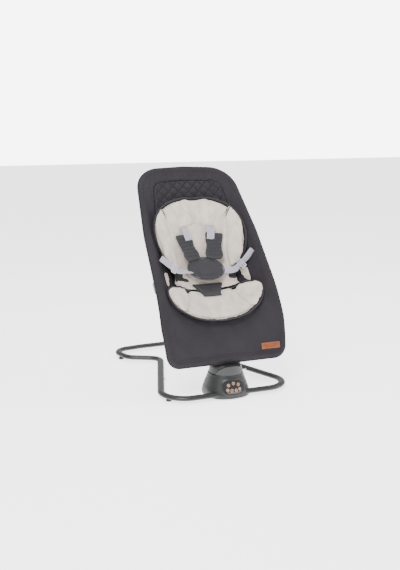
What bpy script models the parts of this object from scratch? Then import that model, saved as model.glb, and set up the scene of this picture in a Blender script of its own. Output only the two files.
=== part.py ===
"""Powered swaying baby bouncer: a tube floor frame, a motor pod, a swing head and a reclining sling seat.

Metres, +Z up. The seat faces -Y. The origin is on the floor, under the middle of the whole object.
The seat is laid out on its side rails' curved surface: x across, s along the rails from the
bottom bar, and off, the height above the rails' surface, positive towards the child.
"""

from math import atan2, cos, pi, radians, sin, sqrt, tan

import bmesh
import bpy
from mathutils import Matrix, Vector

# Floor frame: a flat oval tube, from the front bar round the waist to the rear bar
TUBE_WIDE = 0.023
TUBE_HIGH = 0.016
TUBE_WALL = 0.0014
TUBE_Z = 0.016
FRONT_BAR_Y = -0.308
SEAM_Y = -0.059
SEAM_X = 0.148
SNAP_Y = -0.090
SIDE_SLOPE = 0.35
GAP = 0.0004

# Motor pod and swing head, both turned round the sway axis
POD_Y = -0.257
POD_PROFILE = [
    (0.0030, 0.0715), (0.0120, 0.0718), (0.0250, 0.0700), (0.0450, 0.0640), (0.0600, 0.0592), (0.0725, 0.0555),
]
POD_NECK_R = 0.0555
POD_WALL = 0.0025
POD_FOOT_Z = 0.003
POD_TOP_Z = 0.0725
HEAD_Z = 0.0738
HEAD_CROWN_Z = 0.1035
SHAFT_R = 0.008

# Sway drive: a sector gear on the shaft and the motor's pinion behind it
GEAR_MODULE = 0.0015
SECTOR_TEETH = 42
PINION_TEETH = 14
GEAR_Z = 0.026
GEAR_THICK = 0.008
GEAR_CENTRES = GEAR_MODULE * (SECTOR_TEETH + PINION_TEETH) / 2 + 0.0002

# Recline hinge, across the top of the swing head
RECLINE_Y = -0.237
RECLINE_Z = 0.122
PIN_R = 0.005

# Side rails of the seat: an arc up from the bottom bar, then a straight back
RAIL_FOOT_Y = -0.275
RAIL_FOOT_Z = 0.116
RAIL_RADIUS = 0.490
RAIL_LOW_ANGLE = radians(80.6)
RAIL_BACK_ANGLE = radians(49.6)
RAIL_ARC = RAIL_RADIUS * (RAIL_LOW_ANGLE - RAIL_BACK_ANGLE)
SEAT_TUBE_R = 0.008
SEAT_TUBE_WALL = 0.0012
SEAT_SEAM_S = 0.345
# Seat tube centre line, right half: (x, s, corner radius)
SEAT_CORNERS = [
    (0.0, 0.0, 0.0),
    (0.190, 0.0, 0.030),
    (0.1985, 0.115, 0.300),
    (0.188, 0.440, 0.500),
    (0.161, 0.690, 0.082),
    (0.0, 0.698, 0.0),
]
COVER_THICK = 0.0025
WEBBING = 0.025

COLOURS = {
    "tube_grey": ((0.115, 0.125, 0.118, 1), 0.38, 0.6),
    "pod_grey": ((0.045, 0.052, 0.053, 1), 0.55, 0.0),
    "steel": ((0.55, 0.56, 0.58, 1), 0.35, 1.0),
    "black_gloss": ((0.010, 0.009, 0.010, 1), 0.10, 0.0),
    "rubber": ((0.035, 0.035, 0.037, 1), 0.80, 0.0),
    "board_green": ((0.020, 0.120, 0.055, 1), 0.50, 0.0),
    "nylon_white": ((0.62, 0.60, 0.60, 1), 0.45, 0.0),
    "plum_fabric": ((0.080, 0.072, 0.085, 1), 0.90, 0.0),
    "beige_velour": ((0.66, 0.60, 0.55, 1), 0.95, 0.0),
    "webbing_white": ((0.74, 0.71, 0.76, 1), 0.70, 0.0),
    "tan_patch": ((0.55, 0.20, 0.035, 1), 0.60, 0.0),
    "bronze": ((0.55, 0.38, 0.18, 1), 0.40, 1.0),
}


# ---------------------------------------------------------------- scene and mesh helpers


def clear_scene():
    for obj in list(bpy.data.objects):
        bpy.data.objects.remove(obj, do_unlink=True)


def material(slot):
    found = bpy.data.materials.get(slot)
    if found:
        return found
    colour, roughness, metallic = COLOURS[slot]
    made = bpy.data.materials.new(slot)
    made.use_nodes = True
    shader = made.node_tree.nodes["Principled BSDF"]
    shader.inputs["Base Color"].default_value = colour
    shader.inputs["Roughness"].default_value = roughness
    shader.inputs["Metallic"].default_value = metallic
    made.diffuse_color = colour
    return made


def joint_empty(name, place, parent=None):
    empty = bpy.data.objects.new(name, None)
    bpy.context.scene.collection.objects.link(empty)
    empty.location = place
    if parent:
        hang(empty, parent)
    return empty


def hang(obj, parent):
    """Parents obj without moving it."""
    bpy.context.view_layer.update()
    world = obj.matrix_world.copy()
    obj.parent = parent
    obj.matrix_parent_inverse = parent.matrix_world.inverted()
    obj.matrix_world = world


def add_object(name, mesh, slot, parent=None, place=(0, 0, 0), turn=None):
    obj = bpy.data.objects.new(name, mesh)
    bpy.context.scene.collection.objects.link(obj)
    obj.location = place
    if turn:
        obj.rotation_euler = turn
    if mesh.materials:
        mesh.materials.clear()
    mesh.materials.append(material(slot))
    mesh.shade_smooth()
    mesh.set_sharp_from_angle(angle=radians(35))
    if parent:
        hang(obj, parent)
    return obj


def mesh_from(name, shape, merge=1e-6):
    """Closes a bmesh, turns its faces outwards and makes it a mesh."""
    bmesh.ops.remove_doubles(shape, verts=shape.verts, dist=merge)
    bmesh.ops.recalc_face_normals(shape, faces=shape.faces)
    mesh = bpy.data.meshes.new(name)
    shape.to_mesh(mesh)
    shape.free()
    return mesh


def turned_mesh(name, profile, steps=32, closed=True):
    """A profile of (radius, z) points spun round Z. A closed profile makes a ring, an open one runs axis to axis."""
    shape = bmesh.new()
    points = [shape.verts.new((r, 0, z)) for r, z in profile]
    edges = [shape.edges.new(pair) for pair in zip(points, points[1:])]
    if closed:
        edges.append(shape.edges.new((points[-1], points[0])))
    bmesh.ops.spin(
        shape, geom=points + edges, cent=(0, 0, 0), axis=(0, 0, 1), angle=2 * pi,
        steps=steps, use_merge=True, use_duplicate=False,
    )
    return mesh_from(name, shape)


def ring_mesh(name, outer, inner, low, high, steps=32):
    return turned_mesh(name, [(inner, low), (outer, low), (outer, high), (inner, high)], steps)


def disc_mesh(name, radius, low, high, steps=24, edge=0.0):
    """A solid disc, its upper rim bevelled by edge."""
    profile = [(0, low), (radius, low), (radius, high - edge), (radius - edge, high), (0, high)]
    return turned_mesh(name, profile, steps, closed=False)


def box_mesh(name, size, centre=(0, 0, 0), bevel=0.0):
    shape = bmesh.new()
    bmesh.ops.create_cube(shape, size=1, matrix=Matrix.Translation(centre) @ Matrix.Diagonal((*size, 1)))
    if bevel:
        bmesh.ops.bevel(
            shape, geom=list(shape.edges), offset=bevel, affect="EDGES", segments=1, profile=0.5, material=-1
        )
    return mesh_from(name, shape)


def plate_mesh(name, outline, low, high, turn=None):
    """A flat outline of (x, y) points, extruded from z low to z high, then turned by a matrix."""
    shape = bmesh.new()
    face = shape.faces.new([shape.verts.new((x, y, low)) for x, y in outline])
    raised = bmesh.ops.extrude_face_region(shape, geom=[face])["geom"]
    lifted = [v for v in raised if isinstance(v, bmesh.types.BMVert)]
    bmesh.ops.translate(shape, verts=lifted, vec=(0, 0, high - low))
    if turn:
        bmesh.ops.transform(shape, matrix=turn, verts=shape.verts)
    return mesh_from(name, shape)


def strip_mesh(name, stations, thickness):
    """A bar through rows of points, one row for each station, thickened along each row's own normal.

    A station is (points across, normal)."""
    shape = bmesh.new()
    rows = []
    for across, normal in stations:
        lift = Vector(normal).normalized() * thickness
        low = [shape.verts.new(p) for p in across]
        high = [shape.verts.new(Vector(p) + lift) for p in reversed(across)]
        rows.append(low + high)
    for first, second in zip(rows, rows[1:]):
        for i in range(len(first)):
            j = (i + 1) % len(first)
            shape.faces.new((first[i], first[j], second[j], second[i]))
    shape.faces.new(rows[0])
    shape.faces.new(rows[-1])
    return mesh_from(name, shape)


def lofted_mesh(name, loops):
    """A closed skin through a run of loops of equal length; the first and last are closed over their middles."""
    shape = bmesh.new()
    rings = [[shape.verts.new(p) for p in loop] for loop in loops]
    count = len(rings[0])
    for first, second in zip(rings, rings[1:]):
        for i in range(count):
            j = (i + 1) % count
            shape.faces.new((first[i], first[j], second[j], second[i]))
    for ring in (rings[0], rings[-1]):
        middle = shape.verts.new(sum((v.co for v in ring), Vector()) / count)
        for i in range(count):
            shape.faces.new((ring[i], ring[(i + 1) % count], middle))
    return mesh_from(name, shape)


def even_loop(points, count):
    """A closed line of (x, s) points, dealt out again at even spacing."""
    points = [Vector(p[:2]) for p in points]
    closed = points + [points[0]]
    reach = [0.0]
    for a, b in zip(closed, closed[1:]):
        reach.append(reach[-1] + (b - a).length)
    found = []
    k = 0
    for i in range(count):
        goal = reach[-1] * i / count
        while reach[k + 1] < goal:
            k += 1
        share = (goal - reach[k]) / max(reach[k + 1] - reach[k], 1e-9)
        found.append(closed[k].lerp(closed[k + 1], share))
    return found


def helper(name, mesh, place=(0, 0, 0), turn=None):
    """A cutter: it shapes another object and isn't part of the model."""
    obj = bpy.data.objects.new(name, mesh)
    bpy.context.scene.collection.objects.link(obj)
    obj.location = place
    if turn:
        obj.rotation_euler = turn
    obj.hide_render = True
    obj.display_type = "WIRE"
    return obj


def boolean(obj, other, operation="DIFFERENCE"):
    modifier = obj.modifiers.new(operation.lower() + "_" + other.name, "BOOLEAN")
    modifier.object = other
    modifier.operation = operation
    modifier.solver = "EXACT"
    return obj


def filleted(corners, step=0.012):
    """Points along a line through (x, y, radius) corners, each corner rounded by an arc of that radius."""
    found = [Vector(corners[0][:2])]
    for before, here, after in zip(corners, corners[1:], corners[2:]):
        at = Vector(here[:2])
        radius = here[2]
        back = (Vector(before[:2]) - at).normalized()
        on = (Vector(after[:2]) - at).normalized()
        half_turn = (pi - back.angle(on)) / 2
        if radius == 0 or half_turn < 1e-3:
            found.append(at)
            continue
        start = at + back * radius * tan(half_turn)
        centre = at + (back + on).normalized() * radius / cos(half_turn)
        arm = start - centre
        sense = 1 if arm.x * (at - start).y - arm.y * (at - start).x > 0 else -1
        count = max(3, round(2 * half_turn * radius / step), round(2 * half_turn / radians(21)))
        for i in range(count + 1):
            turn = sense * 2 * half_turn * i / count
            found.append(centre + Vector((arm.x * cos(turn) - arm.y * sin(turn), arm.x * sin(turn) + arm.y * cos(turn))))
    found.append(Vector(corners[-1][:2]))
    return found


def smooth_path(points, per_span=5):
    """A Catmull-Rom curve through the points."""
    points = [Vector(p) for p in points]
    ends = [2 * points[0] - points[1]] + points + [2 * points[-1] - points[-2]]
    found = []
    for a, b, c, d in zip(ends, ends[1:], ends[2:], ends[3:]):
        for i in range(per_span):
            t = i / per_span
            found.append(
                0.5 * (2 * b + (c - a) * t + (2 * a - 5 * b + 4 * c - d) * t**2 + (3 * b - a - 3 * c + d) * t**3)
            )
    return found + [points[-1]]


def oval_points(wide, high, count):
    return [(wide / 2 * cos(2 * pi * i / count), high / 2 * sin(2 * pi * i / count)) for i in range(count)]


def swept_mesh(name, path, section, wall, upright):
    """A hollow tube: a closed section of (sideways, up) points carried along a path.

    upright gives the section's up direction at a path point. A wall of 0 makes it solid."""
    shape = bmesh.new()
    shells = [1.0] if wall == 0 else [1.0, None]
    loops = {k: [] for k in range(len(shells))}
    for i, at in enumerate(path):
        ahead = (path[min(i + 1, len(path) - 1)] - path[max(i - 1, 0)]).normalized()
        side = ahead.cross(upright(at)).normalized()
        up = side.cross(ahead)
        for k in loops:
            ring = []
            for across, raised in section:
                reach = sqrt(across**2 + raised**2)
                scale = (reach - wall) / reach if k else 1.0
                ring.append(shape.verts.new(at + side * across * scale + up * raised * scale))
            loops[k].append(ring)
    count = len(section)
    for k, rings in loops.items():
        for first, second in zip(rings, rings[1:]):
            for i in range(count):
                j = (i + 1) % count
                shape.faces.new((first[i], first[j], second[j], second[i]))
    for end in (0, -1):
        if wall == 0:
            shape.faces.new(loops[0][end])
            continue
        for i in range(count):
            j = (i + 1) % count
            shape.faces.new((loops[0][end][i], loops[0][end][j], loops[1][end][j], loops[1][end][i]))
    return mesh_from(name, shape)


# ---------------------------------------------------------------- the rails' surface


def rail_frame(s):
    """(point at x = 0, direction along the rail, direction away from the surface) at a distance s."""
    if s < RAIL_ARC:
        angle = RAIL_LOW_ANGLE - s / RAIL_RADIUS
        rest = 0.0
    else:
        angle = RAIL_BACK_ANGLE
        rest = s - RAIL_ARC
    y = RAIL_FOOT_Y + RAIL_RADIUS * (sin(RAIL_LOW_ANGLE) - sin(angle)) + rest * cos(angle)
    z = RAIL_FOOT_Z + RAIL_RADIUS * (cos(angle) - cos(RAIL_LOW_ANGLE)) + rest * sin(angle)
    return Vector((0, y, z)), Vector((0, cos(angle), sin(angle))), Vector((0, -sin(angle), cos(angle)))


def on_seat(x, s, off):
    point, _, out = rail_frame(s)
    return point + Vector((x, 0, 0)) + out * off


def rail_points():
    """Right half of the seat tube's centre line as (x, s) points, from the bottom bar's middle to the top's."""
    half = filleted(SEAT_CORNERS, 0.04)
    found = []
    for a, b in zip(half, half[1:]):
        steps = max(1, round((b - a).length / 0.042))
        found += [a.lerp(b, i / steps) for i in range(steps)]
    return found + [half[-1]]


def between(table, s):
    """Straight-line reading of a table of (s, value) pairs."""
    if s <= table[0][0]:
        return table[0][1]
    for (s0, v0), (s1, v1) in zip(table, table[1:]):
        if s <= s1:
            return v0 + (v1 - v0) * (s - s0) / (s1 - s0)
    return table[-1][1]


# Height of the insert's upper face along its middle, and along its edge
INSERT_MIDDLE = [
    (0.125, 0.004), (0.145, -0.008), (0.170, -0.021), (0.200, -0.036), (0.235, -0.054), (0.264, -0.069), (0.300, -0.078),
    (0.360, -0.062), (0.424, -0.040), (0.514, -0.012), (0.545, 0.008), (0.563, 0.020),
]
INSERT_EDGE = [
    (0.125, 0.004), (0.150, 0.002), (0.200, 0.000), (0.235, -0.002), (0.252, -0.010), (0.262, -0.032), (0.275, -0.052),
    (0.300, -0.058), (0.318, -0.045), (0.332, -0.031), (0.355, -0.021), (0.390, -0.005), (0.430, 0.006), (0.487, 0.015),
    (0.531, 0.021), (0.563, 0.022),
]
INSERT_THICK = 0.024
# Height of the sling's upper face along its middle
SLING_MIDDLE = [
    (0.0, 0.007), (0.060, -0.001), (0.113, -0.022), (0.165, -0.046), (0.221, -0.074), (0.264, -0.097),
    (0.300, -0.110), (0.360, -0.098), (0.424, -0.075), (0.514, -0.046), (0.563, -0.018), (0.620, 0.000),
    (0.698, 0.007),
]


def rail_half_width(s):
    """Half the distance between the side rails' centre lines."""
    return between([(0.0, 0.190), (0.030, 0.1955), (0.115, 0.1985), (0.440, 0.188), (0.600, 0.172), (0.698, 0.160)], s)


def sling_height(x, s):
    """Height of the sling's upper face: it hangs between the rails."""
    share = min(1.0, abs(x) / (rail_half_width(s) - 0.0084))
    middle = between(SLING_MIDDLE, s)
    return middle + (0.007 - middle) * share**2.4


def head_half_width(s):
    if s >= 0.440:
        return 0.160 * max(0.0, 1 - ((s - 0.440) / 0.123) ** 2.8) ** 0.42
    return max(0.098, 0.160 * sqrt(max(0.0, 1 - ((0.440 - s) / 0.150) ** 2)))


def seat_half_width(s):
    if s <= 0.220:
        return 0.163 * sqrt(max(0.0, 1 - ((0.220 - s) / 0.095) ** 2))
    return max(0.098, 0.163 * max(0.0, 1 - ((s - 0.220) / 0.044) ** 3) ** 0.4)


def insert_height(x, s):
    """Height of the insert's upper face above the rails' surface."""
    half = head_half_width(s) if s > 0.2635 else seat_half_width(s)
    share = min(1.0, abs(x) / max(half, 0.02))
    middle = between(INSERT_MIDDLE, s)
    return middle + (between(INSERT_EDGE, s) - middle) * share**2.2


# ---------------------------------------------------------------- floor frame


def floor_frame_half():
    """Right half of the floor frame's centre line, as (x, y, radius) corners."""
    side_x = lambda y: SEAM_X - SIDE_SLOPE * (y - SEAM_Y)
    return [
        (0.0, FRONT_BAR_Y, 0.0),
        (side_x(FRONT_BAR_Y), FRONT_BAR_Y, 0.075),
        (0.0796, 0.1365, 0.042),
        (0.1845, 0.1935, 0.050),
        (0.2110, 0.2966, 0.052),
        (0.0950, 0.3140, 0.300),
        (0.0, 0.3170, 0.0),
    ]


def floor_tube_paths():
    """(front tube path, rear tube path): the frame is parted at its two side seams."""
    half = [Vector((p.x, p.y, TUBE_Z)) for p in filleted(floor_frame_half(), 0.035)]
    front = [p for p in half if p.y < SEAM_Y - 0.01]
    rear = [p for p in half if p.y > SEAM_Y + 0.01]
    lean = Vector((-SIDE_SLOPE, 1, 0)).normalized()
    seam = Vector((SEAM_X, SEAM_Y, TUBE_Z))
    front = front + [seam - lean * GAP]
    rear = [seam + lean * GAP] + rear
    flip = lambda p: Vector((-p.x, p.y, p.z))
    return [flip(p) for p in reversed(front[1:])] + front, rear + [flip(p) for p in reversed(rear[:-1])]


def up(_):
    return Vector((0, 0, 1))


def floor_frame(base):
    front, rear = floor_tube_paths()
    section = oval_points(TUBE_WIDE, TUBE_HIGH, 12)
    add_part = lambda name, path: add_object(
        name, swept_mesh(name, path, section, TUBE_WALL, up), "tube_grey", base
    )
    front_tube = add_part("front_base_tube", front)
    add_part("rear_base_tube", rear)
    lean = Vector((-SIDE_SLOPE, 1, 0)).normalized()
    inner = oval_points(TUBE_WIDE - 2 * TUBE_WALL - 0.0008, TUBE_HIGH - 2 * TUBE_WALL - 0.0008, 12)
    for side, name in ((-1, "left"), (1, "right")):
        seam = Vector((side * SEAM_X, SEAM_Y, TUBE_Z))
        along = Vector((side * lean.x, lean.y, 0))
        spigot = add_object(
            f"base_spigot_{name}",
            swept_mesh("spigot", [seam - along * 0.050, seam + along * 0.030], inner, 0, up),
            "steel", base,
        )
        snap_button(side, name, seam, along, front_tube, spigot, base)
    foot_places = {
        "front_left": (-0.1935, -0.262), "front_right": (0.1935, -0.262),
        "rear_left": (-0.1965, 0.234), "rear_right": (0.1965, 0.234),
    }
    for name, (x, y) in foot_places.items():
        profile = [(0, 0), (0.0085, 0), (0.0095, 0.002), (0.008, 0.0077), (0, 0.0077)]
        add_object(f"foot_{name}", turned_mesh("foot", profile, 16, closed=False), "rubber", base, (x, y, 0))


def snap_button(side, name, seam, along, tube, spigot, base):
    """A sprung button in the spigot, standing out through the front tube's inner side."""
    inward = Vector((-side * along.y, side * along.x, 0)) if side > 0 else Vector((along.y, -along.x, 0))
    if inward.x * side > 0:
        inward = -inward
    centre = seam - along * (SEAM_Y - SNAP_Y) / along.y
    turn = inward.to_track_quat("Z", "Y").to_euler()
    hole = helper(f"snap_hole_{name}", disc_mesh("hole", 0.0040, -0.0075, 0.020, 16), centre, turn)
    boolean(tube, hole)
    boolean(spigot, hole)
    pivot = joint_empty(f"snap_{name}_slide", centre, base)
    profile = [(0, -0.0032), (0.0034, -0.0032), (0.0034, 0.0138), (0.0026, 0.0150), (0, 0.0154)]
    add_object(
        f"snap_button_{name}", turned_mesh("snap", profile, 16, closed=False), "steel", pivot, centre, turn
    )


# ---------------------------------------------------------------- motor pod


def pod_radius(z):
    """Outer radius of the pod, straight ahead or straight to a side, at height z."""
    return between(POD_PROFILE, z)


def square_shoulders(mesh):
    """Swells the diagonals of a round pod wall: most at the foot, none at the neck."""
    for vert in mesh.vertices:
        reach = sqrt(vert.co.x**2 + vert.co.y**2)
        if reach < 0.045:
            continue
        power = 2.6 - 0.6 * min(1.0, max(0.0, (vert.co.z - 0.012) / (POD_TOP_Z - 0.012)))
        swell = (abs(vert.co.x / reach) ** power + abs(vert.co.y / reach) ** power) ** (-1 / power)
        vert.co.x *= swell
        vert.co.y *= swell
    return mesh


def window_outline(grow, count=28):
    """The control window: a wide oval with squared shoulders, as (x, z) points round z = 0.039."""
    found = []
    for i in range(count):
        a = 2 * pi * i / count
        reach = (abs(cos(a)) ** 3.2 + abs(sin(a)) ** 3.2) ** (-1 / 3.2)
        found.append(((0.0330 + grow) * reach * cos(a), 0.0390 + (0.0205 + grow) * reach * sin(a)))
    return found


def window_prism(name, grow, near, far):
    """The window's outline as a prism along Y, from y near to y far."""
    stand = Matrix.Rotation(pi / 2, 4, "X")
    return plate_mesh(name, window_outline(grow), -far, -near, stand)


def pod_cone(name, outer_step, wall, low, high):
    """A ring of the pod's own cone, outer_step inside its outer face."""
    heights = [low] + [z for z, _ in POD_PROFILE if low < z < high] + [high]
    outer = [(pod_radius(z) - outer_step, z) for z in heights]
    inner = [(r - wall, z) for r, z in reversed(outer)]
    return square_shoulders(turned_mesh(name, outer + inner, 40))


def pod(base):
    at_axis = (0, POD_Y, 0)
    inside = lambda z: pod_radius(z) - POD_WALL
    boss_r = 0.0185
    wall_profile = [(r, z) for z, r in POD_PROFILE[:-1]] + [
        (pod_radius(0.070), 0.0700), (POD_NECK_R - 0.002, POD_TOP_Z), (0.0115, POD_TOP_Z), (0.0115, 0.0695),
        (0.0142, 0.0695), (0.0142, 0.0600), (boss_r, 0.0600), (boss_r, 0.0700), (inside(0.070), 0.0700),
    ] + [(inside(z), z) for z, _ in reversed(POD_PROFILE[:-1])]
    wall = square_shoulders(turned_mesh("pod_housing", wall_profile, 40))
    housing = add_object("pod_housing", wall, "pod_grey", base, at_axis)
    tube_slot = helper(
        "tube_slot", box_mesh("tube_slot", (0.20, TUBE_WIDE + 0.0012, 0.030), (0, FRONT_BAR_Y, TUBE_Z - 0.0065))
    )
    boolean(housing, tube_slot)
    boolean(housing, helper("window_cut", window_prism("window_cut", 0.0003, POD_Y - 0.08, POD_Y - 0.03)))
    inlet_place = (0, POD_Y + 0.0580, 0.0200)
    face_back = (-pi / 2, 0, 0)
    boolean(housing, helper("inlet_hole", disc_mesh("inlet_hole", 0.0058, -0.02, 0.03, 16), inlet_place, face_back))
    inlet_profile = [(0.0030, 0.0), (0.0054, 0.0), (0.0054, 0.0105), (0.0030, 0.0105)]
    add_object("power_inlet", turned_mesh("power_inlet", inlet_profile, 20), "black_gloss", base, inlet_place, face_back)

    lens = add_object("control_lens", pod_cone("control_lens", 0.0006, 0.0022, 0.015, 0.063), "black_gloss", base, at_axis)
    boolean(lens, helper("window_keep", window_prism("window_keep", -0.0002, POD_Y - 0.08, POD_Y - 0.03)), "INTERSECT")
    add_object(
        "control_board", box_mesh("control_board", (0.052, 0.0016, 0.026)), "board_green", base, (0, POD_Y - 0.0480, 0.041)
    )

    plate_profile = [
        (0.0092, 0.0034), (0.0665, 0.0034), (0.0665, 0.0060), (0.0200, 0.0060), (0.0200, 0.0180), (0.0142, 0.0180),
        (0.0142, 0.0100), (0.0092, 0.0100),
    ]
    add_object("pod_base_plate", turned_mesh("pod_base_plate", plate_profile, 40), "pod_grey", base, at_axis)
    add_object("pod_foot_ring", ring_mesh("pod_foot_ring", 0.0640, 0.0520, 0, 0.0030, 40), "rubber", base, at_axis)
    for name, z in (("lower", 0.0104), ("upper", 0.0603)):
        bearing = ring_mesh("bearing", 0.0139, SHAFT_R + 0.0003, 0, 0.0072 if name == "lower" else 0.0088, 32)
        add_object(f"shaft_bearing_{name}", bearing, "bronze", base, (0, POD_Y, z))
    for side, name in ((-1, "left"), (1, "right")):
        clamp = add_object(
            f"tube_clamp_{name}",
            box_mesh("tube_clamp", (0.012, 0.0253, 0.0208)), "pod_grey", base,
            (side * 0.026, FRONT_BAR_Y + 0.00285, 0.0168),
        )
        bore = swept_mesh(
            "clamp_bore", [Vector((side * 0.01, FRONT_BAR_Y, TUBE_Z)), Vector((side * 0.05, FRONT_BAR_Y, TUBE_Z))],
            oval_points(TUBE_WIDE + 0.0008, TUBE_HIGH + 0.0008, 24), 0, up,
        )
        boolean(clamp, helper(f"clamp_bore_{name}", bore))
    speaker_profile = [
        (0, 0.001), (0.012, 0.001), (0.012, 0.005), (0.0175, 0.008), (0.0175, 0.010), (0.014, 0.010), (0.005, 0.006), (0, 0.006),
    ]
    add_object(
        "speaker", turned_mesh("speaker", speaker_profile, 28, closed=False), "black_gloss", base, (0.041, POD_Y + 0.012, 0.006)
    )
    motor_y = POD_Y + GEAR_CENTRES
    motor_profile = [(0, 0.0385), (0.0115, 0.0385), (0.0115, 0.0560), (0.0080, 0.0580), (0, 0.0580)]
    add_object("motor", turned_mesh("motor", motor_profile, 24, closed=False), "steel", base, (0, motor_y, 0))
    bracket = add_object(
        "motor_bracket", box_mesh("motor_bracket", (0.062, 0.018, 0.002)), "steel", base, (0, motor_y - 0.001, 0.0371)
    )
    for side in (-1, 1):
        leg = helper("bracket_leg", box_mesh("bracket_leg", (0.002, 0.018, 0.0315)), (side * 0.030, motor_y - 0.001, 0.0221))
        boolean(bracket, leg, "UNION")
    boolean(bracket, helper("bracket_hole", disc_mesh("bracket_hole", 0.005, -0.01, 0.01, 16), (0, motor_y, 0.0371)))


# ---------------------------------------------------------------- sway drive and swing head


def gear_outline(teeth, tip_share, root_share, slack, first, last):
    """Involute teeth numbered from first to last, as (x, y) points, the first tooth's middle at angle 0."""
    pitch_r = GEAR_MODULE * teeth / 2
    base_r = pitch_r * cos(radians(20))
    tip_r = pitch_r + tip_share * GEAR_MODULE
    root_r = pitch_r - root_share * GEAR_MODULE
    spread = lambda r: tan(_pressure(base_r, r)) - _pressure(base_r, r)
    half_pitch = pi / (2 * teeth) - slack / (2 * pitch_r)
    half_at = lambda r: half_pitch + spread(pitch_r) - spread(max(r, base_r))
    radii = [root_r, max(base_r, root_r + 1e-5), pitch_r, tip_r]
    found = []
    for tooth in range(first, last + 1):
        middle = 2 * pi * tooth / teeth
        for r in radii:
            found.append((r, middle - half_at(r)))
        for r in reversed(radii):
            found.append((r, middle + half_at(r)))
    return [(r * cos(a), r * sin(a)) for r, a in found]


def _pressure(base_r, r):
    ratio = min(1.0, base_r / r)
    return atan2(sqrt(1 - ratio**2), ratio)


def sway_drive(base, sway):
    """The sector's teeth point backwards, to the pinion on the motor's shaft."""
    reach = 4
    teeth = gear_outline(SECTOR_TEETH, 0.80, 1.15, 0.00025, -reach, reach)
    root_r = GEAR_MODULE * SECTOR_TEETH / 2 - 1.15 * GEAR_MODULE
    edge = radians(44)
    back = [(0.0135 * cos(a), 0.0135 * sin(a)) for a in (radians(70 + 22 * i) for i in range(11))]
    outline = [(root_r * cos(-edge), root_r * sin(-edge))] + teeth + [(root_r * cos(edge), root_r * sin(edge))] + back
    face_back = Matrix.Rotation(pi / 2, 4, "Z")
    sector = add_object(
        "sector_gear", plate_mesh("sector_gear", outline, GEAR_Z, GEAR_Z + GEAR_THICK, face_back), "nylon_white", sway,
        (0, POD_Y, 0),
    )
    boolean(sector, helper("sector_bore", disc_mesh("sector_bore", SHAFT_R + 0.0003, 0, 0.06, 32), (0, POD_Y, 0)))
    shaft_profile = [
        (0, 0.0106), (SHAFT_R, 0.0106), (SHAFT_R, 0.0860), (0.0060, 0.0860), (0.0060, 0.0950), (0, 0.0950),
    ]
    add_object("sway_shaft", turned_mesh("sway_shaft", shaft_profile, 32, closed=False), "steel", sway, (0, POD_Y, 0))

    pinion_y = POD_Y + GEAR_CENTRES
    pinion_axis = joint_empty("pinion_axis", (0, pinion_y, GEAR_Z), base)
    # A tooth space of the pinion faces the sector's middle tooth
    face_front = Matrix.Rotation(-pi / 2 + pi / PINION_TEETH, 4, "Z")
    outline = gear_outline(PINION_TEETH, 0.80, 1.15, 0.00025, 0, PINION_TEETH - 1)
    pinion = add_object(
        "motor_pinion", plate_mesh("motor_pinion", outline, GEAR_Z, GEAR_Z + GEAR_THICK, face_front), "bronze",
        pinion_axis, (0, pinion_y, 0),
    )
    spindle = helper("motor_spindle", disc_mesh("motor_spindle", 0.0025, 0.030, 0.0380, 16), (0, pinion_y, 0))
    boolean(pinion, spindle, "UNION")


def swing_head(sway):
    """The domed turning cap on the pod, held down by the shaft's nut."""
    wall = 0.003
    outer = [
        (POD_NECK_R - 0.0008, HEAD_Z), (POD_NECK_R - 0.0008, HEAD_Z + 0.010), (POD_NECK_R - 0.0024, 0.0925),
        (POD_NECK_R - 0.0062, 0.0985), (POD_NECK_R - 0.0125, HEAD_CROWN_Z),
    ]
    profile = outer + [
        (0.0125, HEAD_CROWN_Z), (0.0125, 0.0866), (SHAFT_R + 0.0003, 0.0866), (SHAFT_R + 0.0003, 0.0790),
        (0.0150, 0.0790), (0.0150, HEAD_CROWN_Z - wall), (POD_NECK_R - 0.0132, HEAD_CROWN_Z - wall),
        (POD_NECK_R - 0.0086, 0.0970), (POD_NECK_R - 0.0054, 0.0920), (POD_NECK_R - 0.0038, HEAD_Z + 0.010),
        (POD_NECK_R - 0.0038, HEAD_Z),
    ]
    add_object("swing_head_shell", turned_mesh("swing_head_shell", profile, 40), "pod_grey", sway, (0, POD_Y, 0))
    nut = [(SHAFT_R * 1.2 * cos(pi * i / 3), SHAFT_R * 1.2 * sin(pi * i / 3)) for i in range(6)]
    nut_piece = add_object("shaft_nut", plate_mesh("shaft_nut", nut, 0.0870, 0.0935), "steel", sway, (0, POD_Y, 0))
    boolean(nut_piece, helper("nut_bore", disc_mesh("nut_bore", 0.0063, 0.05, 0.12, 24), (0, POD_Y, 0)))


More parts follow.
